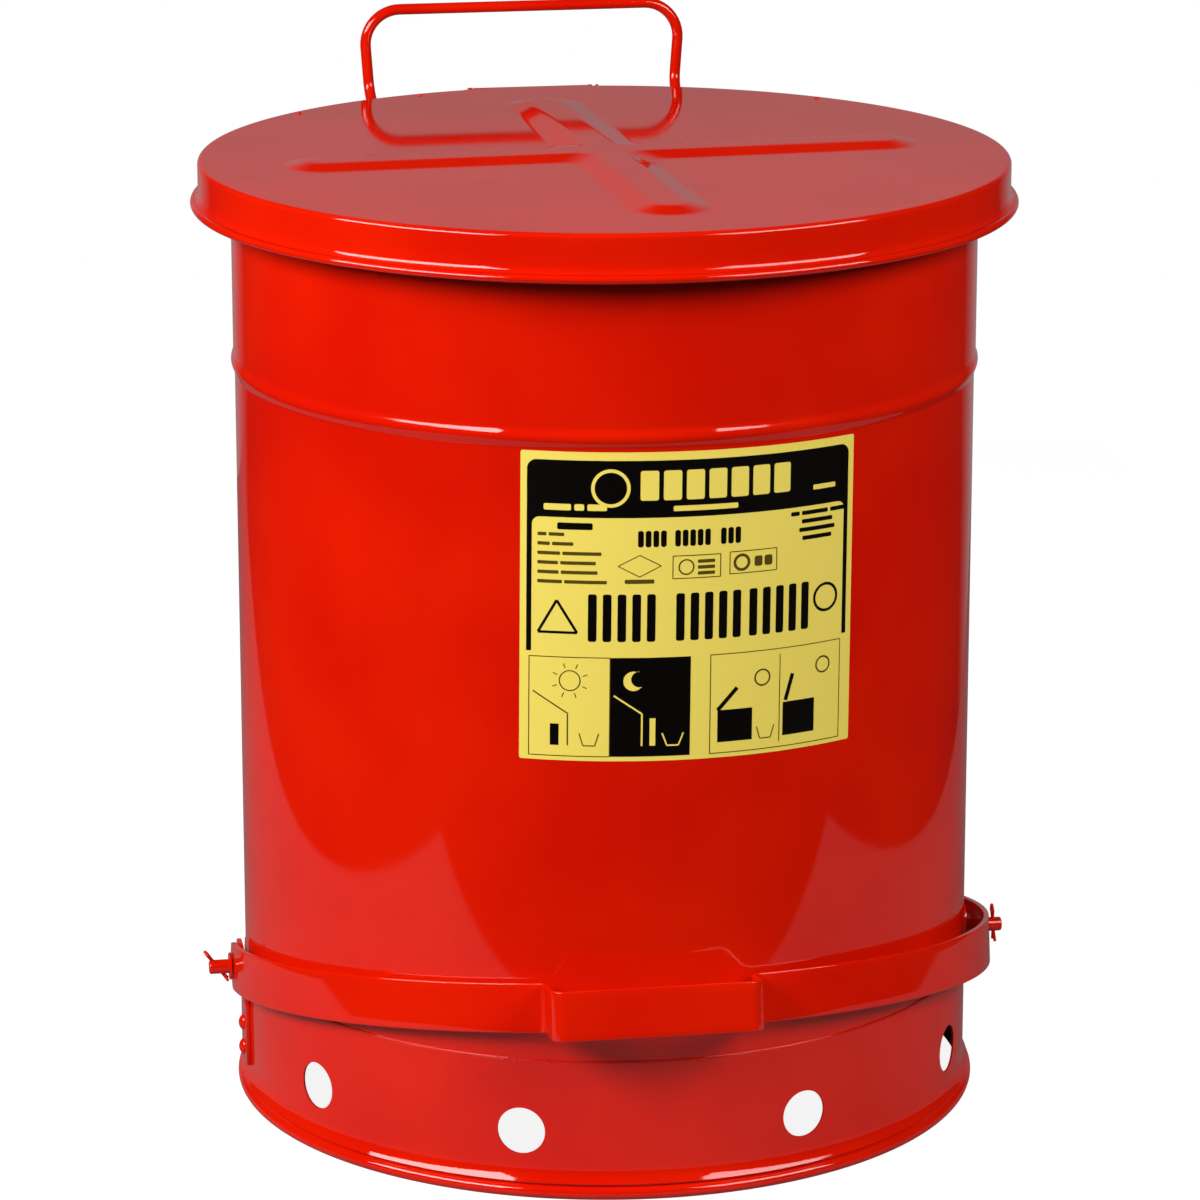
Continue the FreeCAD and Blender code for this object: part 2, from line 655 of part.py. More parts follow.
def end_corner_cut(angle, way):
    """Cutter that rounds both corners of the strap's end."""
    corner = strap_end_corner
    deep = 4 * strap_sheet
    block_corner = Vector(-corner, -deep / 2, -strap_height)
    block = Part.makeBox(2 * corner, deep, 2 * strap_height, block_corner)
    keep_corner = Vector(-corner, -deep / 2, corner - strap_height / 2)
    keep = Part.makeBox(corner, deep, strap_height - 2 * corner, keep_corner)
    for end in (-1, 1):
        centre = Vector(-corner, -deep / 2, end * (strap_height / 2 - corner))
        keep = keep.fuse(Part.makeCylinder(corner, deep, centre, Vector(0, 1, 0)))
    cutter = block.cut(keep)
    behind = Part.makeBox(corner, deep, 2 * strap_height, Vector(-2 * corner, -deep / 2, -strap_height))
    cutter = cutter.cut(behind)
    if way < 0:
        cutter.rotate(Vector(), UP, 180)
    cutter.translate(Vector(0, -strap_middle, 0))
    cutter.rotate(Vector(), UP, angle)
    return cutter


# ---- the lift rod -------------------------------------------------------------------------------
def lift_rod():
    """Hooked through the strap's rear end, straight up the back to its pad."""
    hook_tip = ring_radius + 2.6
    top = lift_pad_top - lift_pad_cover
    return bent_bar(
        [Vector(0, hook_tip, hook_height), Vector(0, lift_y, hook_height), Vector(0, lift_y, top)],
        [lift_bend], lift_radius)


def lift_pad():
    """Flat pad with a collar, pressed on the rod's end."""
    width, depth, thick = lift_pad_size
    low = lift_pad_top - thick
    front = hinge_y - push_arm - 0.9 * push_roll
    plate = Part.makeBox(width, depth, thick, Vector(-width / 2, front, low))
    collar = Part.makeCylinder(
        lift_collar_radius, lift_collar_length, Vector(0, lift_y, low - lift_collar_length))
    bore_length = lift_collar_length + thick - lift_pad_cover
    bore = Part.makeCylinder(lift_radius, bore_length, Vector(0, lift_y, low - lift_collar_length))
    return plate.fuse(collar).cut(bore)


def guide_rivet_angle(side):
    return 180 + side * half_angle_of(guide_rivet_offset, body_radius)


def rod_guide(height):
    """Riveted clip whose eye guides the rod."""
    low = height - guide_length / 2
    half_angle = half_angle_of(guide_half_width, body_radius)
    plate = curved_plate(body_radius, body_radius + guide_wall, low, low + guide_length, 180, half_angle)
    eye_radius = lift_radius + guide_gap + guide_wall
    eye = Part.makeCylinder(eye_radius, guide_length, Vector(0, lift_y, low))
    web_corner = Vector(-guide_web_half, body_radius, low)
    web = Part.makeBox(2 * guide_web_half, lift_y - body_radius, guide_length, web_corner)
    guide = plate.fuse([eye, web])
    guide = guide.cut(Part.makeCylinder(lift_radius + guide_gap, guide_length, Vector(0, lift_y, low)))
    for side in (-1, 1):
        guide = guide.cut(rivet_hole(guide_rivet_angle(side), height, small_rivet_scale))
    return guide.removeSplitter()


def guide_rivets():
    face = body_radius + guide_wall
    return Part.makeCompound([
        rivet(guide_rivet_angle(side), height, face, body_inner, small_rivet_scale)
        for side in (-1, 1) for height in guide_heights])


# ---- the handle ---------------------------------------------------------------------------------
def handle_foot(side):
    radius = neck_radius + handle_radius
    return Vector(side * handle_foot_half, math.sqrt(radius ** 2 - handle_foot_half ** 2), 0)


def rear_handle():
    """Wire loop that stands up behind the lid."""
    half = []
    for side in (-1, 1):
        foot = handle_foot(side)
        half.append([
            foot + Vector(0, 0, handle_foot_bottom), foot + Vector(0, 0, handle_foot_top),
            Vector(side * handle_knee_half, handle_behind, handle_knee_height),
            Vector(side * handle_half, handle_behind, handle_height)])
    bends = [handle_bend, handle_bend, handle_corner]
    handle = bent_bar(half[0] + half[1][::-1], bends + bends[::-1], handle_radius)
    handle.rotate(Vector(), UP, handle_turn)
    return handle


def clamp_centre():
    return (handle_foot_top - handle_bend + handle_foot_bottom) / 2


def foot_angle(side):
    foot = handle_foot(side)
    return math.degrees(math.atan2(foot.x, -foot.y)) + handle_turn


def clamp_rivet_angles(side):
    offset = half_angle_of(clamp_rivet_offset, neck_radius)
    return (foot_angle(side) - offset, foot_angle(side) + offset)


def handle_clamps():
    clamps = []
    low = clamp_centre() - clamp_height / 2
    for side in (-1, 1):
        half_angle = half_angle_of(clamp_half_width, neck_radius)
        foot = around(foot_angle(side), neck_radius + handle_radius, low)
        plate = curved_plate(
            neck_radius, neck_radius + clamp_sheet, low, low + clamp_height, foot_angle(side), half_angle)
        saddle = Part.makeCylinder(handle_radius + clamp_sheet, clamp_height, foot)
        saddle = saddle.cut(Part.makeCylinder(neck_radius, clamp_height, Vector(0, 0, low)))
        slot = Part.makeBox(2 * handle_radius, 2 * handle_radius, clamp_height,
                            Vector(neck_radius - handle_radius, -handle_radius, low))
        clamp = plate.fuse(saddle).cut(Part.makeCylinder(handle_radius, clamp_height, foot))
        clamp = clamp.cut(turned(slot, foot_angle(side)))
        for angle in clamp_rivet_angles(side):
            clamp = clamp.cut(rivet_hole(angle, clamp_centre(), small_rivet_scale))
        clamps.append(clamp)
    return Part.makeCompound(clamps)


def handle_clamp_rivets():
    face, back = neck_radius + clamp_sheet, neck_radius - body_sheet
    return Part.makeCompound([
        rivet(angle, clamp_centre(), face, back, small_rivet_scale)
        for side in (-1, 1) for angle in clamp_rivet_angles(side)])


# ---- all nodes ----------------------------------------------------------------------------------
def all_nodes():
    nodes = {
        "body_shell": body_shell(),
        "can_bottom": can_bottom(),
        "base_ring": base_ring(),
        "instruction_label": instruction_label(),
        "lid_pan": lid_pan(),
        "lid_stiffener": lid_stiffener(),
        "lid_weld_pips": lid_weld_pips(),
        "lid_hinge_leaf": lid_hinge_leaf(),
        "hinge_bracket": hinge_bracket(),
        "hinge_bracket_rivets": hinge_bracket_rivets(),
        "hinge_pin": hinge_pin(),
        "hinge_cotter": hinge_cotter(),
        "foot_strap": foot_strap(),
        "lift_rod": lift_rod(),
        "lift_pad": lift_pad(),
        "lower_rod_guide": rod_guide(guide_heights[0]),
        "upper_rod_guide": rod_guide(guide_heights[1]),
        "guide_rivets": guide_rivets(),
        "rear_handle": rear_handle(),
        "handle_clamps": handle_clamps(),
        "handle_clamp_rivets": handle_clamp_rivets()}
    for side, word in ((-1, "left"), (1, "right")):
        nodes[word + "_pivot_bracket"] = pivot_bracket(side)
        nodes[word + "_bracket_rivets"] = bracket_rivets(side)
        nodes[word + "_pivot_pin"] = pivot_pin(side)
        nodes[word + "_pivot_cotter"] = pivot_cotter(side)
        nodes[word + "_pivot_washer"] = pivot_washer(side)
    return nodes


os.makedirs("parts", exist_ok=True)
for name, shape in all_nodes().items():
    shape.exportStep("parts/" + name + ".step")
    box = shape.BoundBox
    print("%-22s solids %d valid %s volume %9.1f mm3  x %.1f..%.1f y %.1f..%.1f z %.1f..%.1f" % (
        name, len(shape.Solids), shape.isValid(), shape.Volume,
        box.XMin, box.XMax, box.YMin, box.YMax, box.ZMin, box.ZMax))
print("lift travel %.3f mm, strap travel %.3f degrees, hinge y %.2f z %.2f, lift rod y %.2f, hook z %.2f" % (
    lift_travel, strap_travel, hinge_y, hinge_z, lift_y, hook_height))
print("inside the can %.1f litres" % (math.pi * body_inner ** 2 * (body_top - bottom_height) / 1e6))
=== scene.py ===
# %% [markdown]
# # A foot-operated oily waste can
# The real can is sheet steel, rolled, seamed and riveted, then dipped in one coat of glossy red enamel
# with its fittings on. So nearly every piece here shares one finish, and the shapes do the talking:
# the rolled hem, the bead, the lid's pressed cross and the bent strap. This lesson loads the CAD frame,
# then models each visible piece again with smooth surfaces that a glossy paint needs.

# %% Load the frame
import json
import math
import random

import bmesh
import bpy
from mathutils import Matrix, Vector


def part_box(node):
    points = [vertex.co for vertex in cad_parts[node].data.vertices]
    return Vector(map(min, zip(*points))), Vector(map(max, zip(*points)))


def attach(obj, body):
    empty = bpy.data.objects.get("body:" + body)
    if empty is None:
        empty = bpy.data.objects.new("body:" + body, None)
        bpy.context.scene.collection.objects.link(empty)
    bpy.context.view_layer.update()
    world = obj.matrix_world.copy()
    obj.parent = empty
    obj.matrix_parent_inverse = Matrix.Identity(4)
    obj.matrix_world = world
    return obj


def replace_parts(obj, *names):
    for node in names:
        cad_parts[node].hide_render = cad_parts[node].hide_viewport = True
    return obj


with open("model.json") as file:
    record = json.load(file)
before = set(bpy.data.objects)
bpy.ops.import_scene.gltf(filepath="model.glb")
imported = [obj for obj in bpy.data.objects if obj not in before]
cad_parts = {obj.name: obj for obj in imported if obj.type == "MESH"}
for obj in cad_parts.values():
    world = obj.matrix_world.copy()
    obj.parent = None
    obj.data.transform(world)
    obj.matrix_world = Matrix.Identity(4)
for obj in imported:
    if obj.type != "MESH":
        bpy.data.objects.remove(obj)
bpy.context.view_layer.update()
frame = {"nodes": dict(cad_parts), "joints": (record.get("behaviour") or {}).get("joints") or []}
MM = 0.001

# %% [markdown]
# ## Sizes
# The frame gives the outside of each part, so the radii and heights below are read from it. What the
# frame's boxes can't tell, such as a sheet's thickness or a roll's radius, is named here in metres.

# %% Sizes read from the frame
ring_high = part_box("base_ring")[1]
body_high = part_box("body_shell")[1]
lid_low, lid_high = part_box("lid_pan")
handle_low, handle_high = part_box("rear_handle")

lid_joint = next(joint for joint in frame["joints"] if joint["name"] == "lid_hinge")
pedal_joint = next(joint for joint in frame["joints"] if joint["name"] == "pedal_pivot")
hinge_y, hinge_z = lid_joint["pos_m"][1], lid_joint["pos_m"][2]
pivot_z = pedal_joint["pos_m"][2]

LEDGE = ring_high.z
BODY_RADIUS = 198.8 * MM
BODY_SHEET = 0.8 * MM
NECK_RADIUS = 199.5 * MM
RING_RADIUS = 199.4 * MM
HEM_RADIUS = ring_high.x
RIM_TOP = body_high.z
LID_RADIUS = 216.7 * MM
LID_EDGE_RADIUS = lid_high.x
LID_TOP = RIM_TOP + 1.2 * MM
LID_SHEET = 0.9 * MM
SPIN_STEPS = 288
print("hem %.4f lid edge %.4f rim %.4f" % (HEM_RADIUS, LID_EDGE_RADIUS, RIM_TOP))


# %% [markdown]
# ## Small tools
# One function makes linear colour from a hex value, because Blender's sockets are linear. One function
# adds a node with its settings and links. The mesh tools keep every finished piece at the origin, smooth
# its faces up to a crease angle, and put it on its body.

# %% Colour and node tools
def linear(hex_colour):
    """A hex colour as sRGB, turned to the linear values that sockets take."""
    parts = [int(hex_colour[i:i + 2], 16) / 255 for i in (1, 3, 5)]
    return tuple(p / 12.92 if p <= 0.04045 else ((p + 0.055) / 1.055) ** 2.4 for p in parts) + (1.0,)


def add_node(tree, kind, settings=None, **links):
    """Add a node, set its properties or sockets, and link sockets to it by name."""
    node = tree.nodes.new(kind)
    for key, value in (settings or {}).items():
        if hasattr(node, key):
            setattr(node, key, value)
        else:
            node.inputs[int(key[1:]) if key[0] == "#" else key].default_value = value
    for key, source in links.items():
        name = key.replace("_", " ")
        target = node.inputs[int(key[1:])] if key[1:].isdigit() else node.inputs[name]
        tree.links.new(source, target)
    return node


def start_material(name):
    """An empty material with its output, ready for a shader."""
    material = bpy.data.materials.new(name)
    material.use_nodes = True
    material.node_tree.nodes.clear()
    output = material.node_tree.nodes.new("ShaderNodeOutputMaterial")
    place = add_node(material.node_tree, "ShaderNodeTexCoord")
    return material, material.node_tree, output, place.outputs["Object"]


# %% [markdown]
# ## Red baked enamel
# Industrial enamel is sprayed thick and baked, so it levels into a deep gloss. Close up it still shows
# orange peel, waves about 3 mm across and a few microns deep, and fine dust nibs. Its pigment is a
# slightly orange red. A clear gloss comes from a low roughness and a very shallow bump.

# %% Enamel
ORANGE_PEEL = 3.2 * MM
DUST_NIB = 1.3 * MM
SHADE_DRIFT = 90 * MM


def red_enamel(name, deep="#DC1300", bright="#E61B00", roughness=0.05, peel=1.0):
    """Glossy red enamel whose shade drifts a little and whose surface waves like sprayed paint."""
    material, tree, output, place = start_material(name)
    drift = add_node(tree, "ShaderNodeTexNoise", {"Scale": 1 / SHADE_DRIFT, "Detail": 2.0}, Vector=place)
    blend = add_node(tree, "ShaderNodeMapRange", {"From Min": 0.35, "From Max": 0.65},
                     Value=drift.outputs[0])
    colour = add_node(tree, "ShaderNodeMix", {"data_type": "RGBA"}, i0=blend.outputs[0])
    colour.inputs[6].default_value = linear(deep)
    colour.inputs[7].default_value = linear(bright)
    waves = add_node(tree, "ShaderNodeTexNoise", {"Scale": 1 / ORANGE_PEEL, "Detail": 1.0}, Vector=place)
    nibs = add_node(tree, "ShaderNodeTexVoronoi", {"Scale": 1 / (9 * DUST_NIB)}, Vector=place)
    nib = add_node(tree, "ShaderNodeMapRange",
                   {"From Min": 0.0, "From Max": 0.07, "To Min": 1.0, "To Max": 0.0},
                   Value=nibs.outputs["Distance"])
    height = add_node(tree, "ShaderNodeMath", {"operation": "MULTIPLY_ADD", "#1": 0.6}, i0=nib.outputs[0],
                      i2=waves.outputs[0])
    bump = add_node(tree, "ShaderNodeBump", {"Strength": 0.07 * peel, "Distance": 0.05 * MM},
                    Height=height.outputs[0])
    worn = add_node(tree, "ShaderNodeMapRange",
                    {"From Min": 0.3, "From Max": 0.7, "To Min": roughness * 0.8, "To Max": roughness * 1.25},
                    Value=drift.outputs[0])
    shader = add_node(tree, "ShaderNodeBsdfPrincipled", {"IOR": 1.5},
                      Base_Color=colour.outputs[2], Roughness=worn.outputs[0], Normal=bump.outputs[0])
    tree.links.new(shader.outputs[0], output.inputs["Surface"])
    return material


ENAMEL = red_enamel("baked_red_enamel")
ENAMEL_THICK = red_enamel("red_enamel_on_fittings", deep="#D21000", roughness=0.09, peel=1.8)
print("enamel ready")


# %% [markdown]
# ## Label film
# The label is printed vinyl: a yellow film with black ink. The print is modelled as thin shapes that
# lie on the film, so that its edges stay sharp at any distance. Film is a little less glossy than paint.

# %% Film and ink
def printed_film(name, shade, roughness):
    """Vinyl or ink in one shade, with a fine grain and a long, shallow ripple."""
    material, tree, output, place = start_material(name)
    grain = add_node(tree, "ShaderNodeTexNoise", {"Scale": 1 / (0.6 * MM), "Detail": 2.0}, Vector=place)
    tone = add_node(tree, "ShaderNodeMapRange", {"To Min": 0.97, "To Max": 1.03}, Value=grain.outputs[0])
    colour = add_node(tree, "ShaderNodeHueSaturation", {"Color": linear(shade)}, Value=tone.outputs[0])
    ripple = add_node(tree, "ShaderNodeTexNoise", {"Scale": 1 / (14 * MM)}, Vector=place)
    bump = add_node(tree, "ShaderNodeBump", {"Strength": 0.08, "Distance": 0.1 * MM},
                    Height=ripple.outputs[0])
    shader = add_node(tree, "ShaderNodeBsdfPrincipled", {"Roughness": roughness, "IOR": 1.46},
                      Base_Color=colour.outputs[0], Normal=bump.outputs[0])
    tree.links.new(shader.outputs[0], output.inputs["Surface"])
    return material


FILM_YELLOW = printed_film("yellow_vinyl_film", "#FFE768", 0.3)
INK_BLACK = printed_film("black_print_ink", "#060302", 0.28)
INK_OLIVE = printed_film("fine_dark_print", "#5A4A10", 0.3)
print("film and inks ready", len(bpy.data.materials), "materials")


# %% Mesh tools
def finish_piece(mesh_work, name, material, body, crease=35.0, recalc=True):
    """Turn a bmesh into an object: merge, point the faces out, smooth, paint and ride."""
    bmesh.ops.remove_doubles(mesh_work, verts=mesh_work.verts, dist=0.00001)
    if recalc:
        bmesh.ops.recalc_face_normals(mesh_work, faces=mesh_work.faces)
    data = bpy.data.meshes.new(name)
    mesh_work.to_mesh(data)
    mesh_work.free()
    data.shade_smooth()
    piece = bpy.data.objects.new(name, data)
    bpy.context.collection.objects.link(piece)
    data.materials.append(material)
    if crease:
        data.set_sharp_from_angle(angle=math.radians(crease))
    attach(piece, body)
    return piece


def arc(centre, radius, start, end, steps):
    """Points of an arc in an outline, angles in degrees."""
    turns = [math.radians(start + (end - start) * i / steps) for i in range(steps + 1)]
    return [(centre[0] + radius * math.cos(t), centre[1] + radius * math.sin(t)) for t in turns]


def spin_outline(outline, steps=SPIN_STEPS, closed=True, mesh_work=None):
    """Spin an outline of (radius, height) round the can's axis."""
    work = mesh_work or bmesh.new()
    dots = [work.verts.new((r, 0, z)) for r, z in outline]
    pairs = list(zip(dots, dots[1:])) + ([(dots[-1], dots[0])] if closed else [])
    edges = [work.edges.new(pair) for pair in pairs]
    bmesh.ops.spin(work, geom=dots + edges, cent=(0, 0, 0), axis=(0, 0, 1), angle=math.tau,
                   steps=steps, use_merge=True)
    return work


def around(angle, radius, height):
    """A place at an angle from the front, towards +X."""
    turn = math.radians(angle)
    return Vector((radius * math.sin(turn), -radius * math.cos(turn), height))


print("tools ready")

# %% [markdown]
# ## Body
# The body is one sheet rolled to a tube. A bead is rolled in near the top to stiffen it, and the top edge
# is curled over. Its outline is drawn once, outside and inside, and spun round the axis.

# %% Body shell
bead_low, bead_high, bead_rise = 401.75 * MM, 414.25 * MM, 1.6 * MM
rim_roll = 1.75 * MM


def bead_curve(radius_below, radius_above, steps=14):
    """The bead's soft swell, as a raised cosine between two wall radii."""
    curve = []
    for i in range(steps + 1):
        t = i / steps
        swell = bead_rise * math.sin(math.pi * t) ** 2
        wall = radius_below + (radius_above - radius_below) * t
        curve.append((wall + swell, bead_low + (bead_high - bead_low) * t))
    return curve


outside = [(BODY_RADIUS, LEDGE + i * (bead_low - LEDGE) / 6) for i in range(6)]
outside += bead_curve(BODY_RADIUS, NECK_RADIUS)
roll_centre = (NECK_RADIUS - BODY_SHEET / 2 + rim_roll, RIM_TOP - rim_roll)
curl = arc(roll_centre, rim_roll, -110, 170, 14)
inside = [(r - BODY_SHEET, z) for r, z in reversed(bead_curve(BODY_RADIUS, NECK_RADIUS))]
inside += [(BODY_RADIUS - BODY_SHEET, LEDGE)]
neck_top = [(NECK_RADIUS, RIM_TOP - 2.2 * rim_roll)]
inner_top = [(NECK_RADIUS - BODY_SHEET, RIM_TOP - 1.6 * rim_roll)]
shell_work = spin_outline(outside + neck_top + curl + inner_top + inside)
shell = finish_piece(shell_work, "body_tube", ENAMEL, "can")
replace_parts(shell, "body_shell")
print("body faces", len(shell.data.polygons), "bead at", bead_low, "to", bead_high)

# %% [markdown]
# ## Raised bottom
# The bottom is a shallow pan, let into the base ring and lifted so that air can pass underneath.

# %% Bottom
pan_radius = 198.4 * MM
pan_sheet = 1.0 * MM
pan_foot = LEDGE - 15.5 * MM
pan_bend = 1.2 * MM
pan_inner = pan_radius - pan_sheet
pan_line = [(0, LEDGE), (pan_radius - 3 * MM, LEDGE)]
pan_line += arc((pan_radius - pan_bend, LEDGE - pan_bend), pan_bend, 90, 0, 4)
pan_line += [(pan_radius, pan_foot), (pan_inner, pan_foot), (pan_inner, LEDGE - 2 * pan_bend)]
pan_line += [(pan_radius - 2.6 * MM, LEDGE - pan_sheet), (0, LEDGE - pan_sheet)]
bottom = finish_piece(spin_outline(pan_line, 144, closed=False), "raised_bottom", ENAMEL, "can")
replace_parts(bottom, "can_bottom")
print("bottom is lifted to", LEDGE)

# %% [markdown]
# ## Base ring
# The ring carries the can. Its foot flares out into a rolled hem, with a small groove where the sheet
# turns under. Eight round holes are punched through it. The ring is spun first and a boolean punches the
# holes, which leaves the sharp, true edge of a punched sheet.

# %% Base ring
ring_inner = RING_RADIUS - 1.0 * MM
hem_roll = 3.6 * MM
hem_centre = (HEM_RADIUS - hem_roll, 3.5 * MM)
vent_radius, vent_height = 12.7 * MM, 36 * MM
vent_angles = (22.2, 59.9, 120.0, 158.0)
flare_steps = ((0, 17), (0.25, 14.6), (1.0, 12.2), (2.2, 10.2), (2.9, 9.0), (2.6, 8.3),
               (1.6, 7.7), (1.8, 7.1))
flare = [(RING_RADIUS + out * MM, height * MM) for out, height in flare_steps]
hem = arc(hem_centre, hem_roll, 62, -250, 26)
ring_wall = [(RING_RADIUS, LEDGE - 0.5 * MM), (RING_RADIUS, 50 * MM), (RING_RADIUS, 22 * MM)]
ring_back = [(ring_inner + 1.2 * MM, 8.5 * MM), (ring_inner, 14 * MM), (ring_inner, 22 * MM),
             (ring_inner, 50 * MM), (ring_inner, LEDGE)]
ring_top = [(RING_RADIUS - 0.5 * MM, LEDGE)]
ring_work = spin_outline(ring_wall + flare + hem + ring_back + ring_top, 384)
for vert in ring_work.verts:
    vert.co.z = max(vert.co.z, 0)
ring = finish_piece(ring_work, "vented_base_ring", ENAMEL, "can")


def punch(piece, cutters):
    """Cut round holes through a piece with a boolean, and drop the cutters."""
    cutter_work = bmesh.new()
    for place in cutters:
        bmesh.ops.create_cone(cutter_work, cap_ends=True, segments=64, radius1=vent_radius,
                              radius2=vent_radius, depth=40 * MM, matrix=place)
    cutter_data = bpy.data.meshes.new("punch")
    cutter_work.to_mesh(cutter_data)
    cutter_work.free()
    cutter = bpy.data.objects.new("punch", cutter_data)
    bpy.context.collection.objects.link(cutter)
    cut = piece.modifiers.new("holes", "BOOLEAN")
    cut.object = cutter
    cut.solver = "EXACT"
    depsgraph = bpy.context.evaluated_depsgraph_get()
    punched = bpy.data.meshes.new_from_object(piece.evaluated_get(depsgraph))
    piece.modifiers.clear()
    piece.data = punched
    bpy.data.objects.remove(cutter)
    punched.shade_smooth()
    punched.set_sharp_from_angle(angle=math.radians(35))


vent_places = []
for side in (-1, 1):
    for vent_angle in vent_angles:
        spot = around(side * vent_angle, RING_RADIUS, vent_height)
        outward = around(side * vent_angle, 1, 0)
        vent_places.append(Matrix.Translation(spot) @ outward.to_track_quat("Z", "Y").to_matrix().to_4x4())
punch(ring, vent_places)
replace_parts(ring, "base_ring")
print("base ring faces", len(ring.data.polygons))

# %% [markdown]
# ## Seam weld on the ledge
# The ring is joined to the body by a roll weld. Under the paint it shows as a thin ridge with small
# beads of spatter, which catch the light as a broken bright line.

# %% Ledge weld
random.seed(14)
weld_radius = 0.55 * MM
weld_outline = arc((BODY_RADIUS + 0.15 * MM, LEDGE + 0.1 * MM), weld_radius, -60, 120, 6)
weld_work = spin_outline(weld_outline, 720, closed=False)
for vert in weld_work.verts:
    turn = math.atan2(vert.co.y, vert.co.x)
    wobble = 0.16 * math.sin(97 * turn) + 0.1 * math.sin(211 * turn + 1.3) + 0.06 * math.sin(389 * turn)
    radial = Vector((vert.co.x, vert.co.y, 0)).normalized()
    vert.co += radial * wobble * 0.5 * weld_radius
finish_piece(weld_work, "ledge_weld", ENAMEL_THICK, "can", crease=60)

spatter_work = bmesh.new()
for i in range(210):
    grain = random.uniform(0.3, 0.7) * MM
    spot = around(random.uniform(0, 360), RING_RADIUS - 0.1 * MM, LEDGE + random.uniform(-1.2, 1.0) * MM)
    bmesh.ops.create_icosphere(spatter_work, subdivisions=1, radius=grain, matrix=Matrix.Translation(spot))
finish_piece(spatter_work, "weld_spatter", ENAMEL_THICK, "can", crease=0)
print("weld ridge at", LEDGE, "with its spatter")

# %% [markdown]
# ## Lid
# The lid is a pressed pan. Its top carries a raised cross, four bars with rounded ends that meet in the
# middle, which keeps the sheet from drumming. The skirt goes nearly straight down and ends in a rolled
# edge that stands out. The top is spun from many rings, the cross is raised by moving vertices up by a
# straight slope with eased edges, and a second skin one sheet inside the first makes the underside.

# %% Lid cross
cross_rise, cross_slope, cross_half = 3.0 * MM, 12.5 * MM, 8.5 * MM
cross_reach, cross_blend = 160 * MM, 12 * MM
cross_turn = math.radians(3.0)
cross_easing = (-0.1, -0.05, 0, 0.05, 0.1)
lid_corner = 2.5 * MM


def bar_distance(along, across):
    """How far a place is outside the flat top of one bar of the cross."""
    beyond = max(abs(along) - (cross_reach - cross_half), 0)
    return math.hypot(beyond, across) - cross_half


def cross_height(x, y):
    """The cross's rise at a place: a straight slope with its two edges just eased."""
    along = x * math.cos(cross_turn) + y * math.sin(cross_turn)
    across = y * math.cos(cross_turn) - x * math.sin(cross_turn)
    first, second = bar_distance(along, across), bar_distance(across, along)
    near = min(first, second)
    overlap = max(cross_blend - abs(first - second), 0) / cross_blend
    near -= overlap * overlap * cross_blend / 4
    eased = [min(max(1 - near / cross_slope + shift, 0), 1) for shift in cross_easing]
    return cross_rise * sum(eased) / len(eased)


# %% Lid pan
edge_roll = 2.2 * MM
edge_centre = (LID_EDGE_RADIUS - edge_roll, lid_low.z + edge_roll)
skirt_end = edge_centre[1] + 2 * edge_roll


def lid_skin(name, rings, steps, inset):
    """The lid's outside, or its inside when inset by the sheet's thickness."""
    corner = lid_corner - inset
    top, radius = LID_TOP - inset, LID_RADIUS - inset
    line = [(i * (radius - corner) / rings, top) for i in range(rings + 1)]
    line += arc((radius - corner, top - corner), corner, 75, 0, 7)
    line += [(radius, LID_TOP - 8 * MM), (radius, skirt_end + 1.5 * MM)]
    line += [(radius + 0.25 * MM, skirt_end), (radius + 0.9 * MM, skirt_end - 1.2 * MM)]
    line += [(radius + 1.9 * MM, skirt_end - 2.1 * MM)]
    work = spin_outline(line, steps, closed=False)
    for vert in work.verts:
        if vert.co.z > top - 0.01 * MM:
            vert.co.z += cross_height(vert.co.x, vert.co.y)
    bmesh.ops.remove_doubles(work, verts=work.verts, dist=0.00001)
    bmesh.ops.recalc_face_normals(work, faces=work.faces)
    middle = max(work.faces, key=lambda face: face.calc_center_median().z)
    facing_up = middle.normal.z > 0
    if facing_up == (inset > 0):
        bmesh.ops.reverse_faces(work, faces=work.faces)
    return finish_piece(work, name, ENAMEL, "lid", crease=40, recalc=False)


lid = lid_skin("pressed_lid", 140, 480, 0)
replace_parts(lid, "lid_pan")
lid_skin("pressed_lid_inside", 56, 192, LID_SHEET)

edge_work = spin_outline(arc(edge_centre, edge_roll, 0, 345, 22), 288)
finish_piece(edge_work, "lid_rolled_edge", ENAMEL, "lid", crease=60)
print("lid vertices", len(lid.data.vertices))

# %% [markdown]
# ## Wire and rod
# Handles, hooks and cotters are bent wire. A wire starts as one circle of vertices: a straight run
# extrudes it, and a bend spins it about the bend's centre. That is how a wire former works, and it keeps
# the section round through every bend.

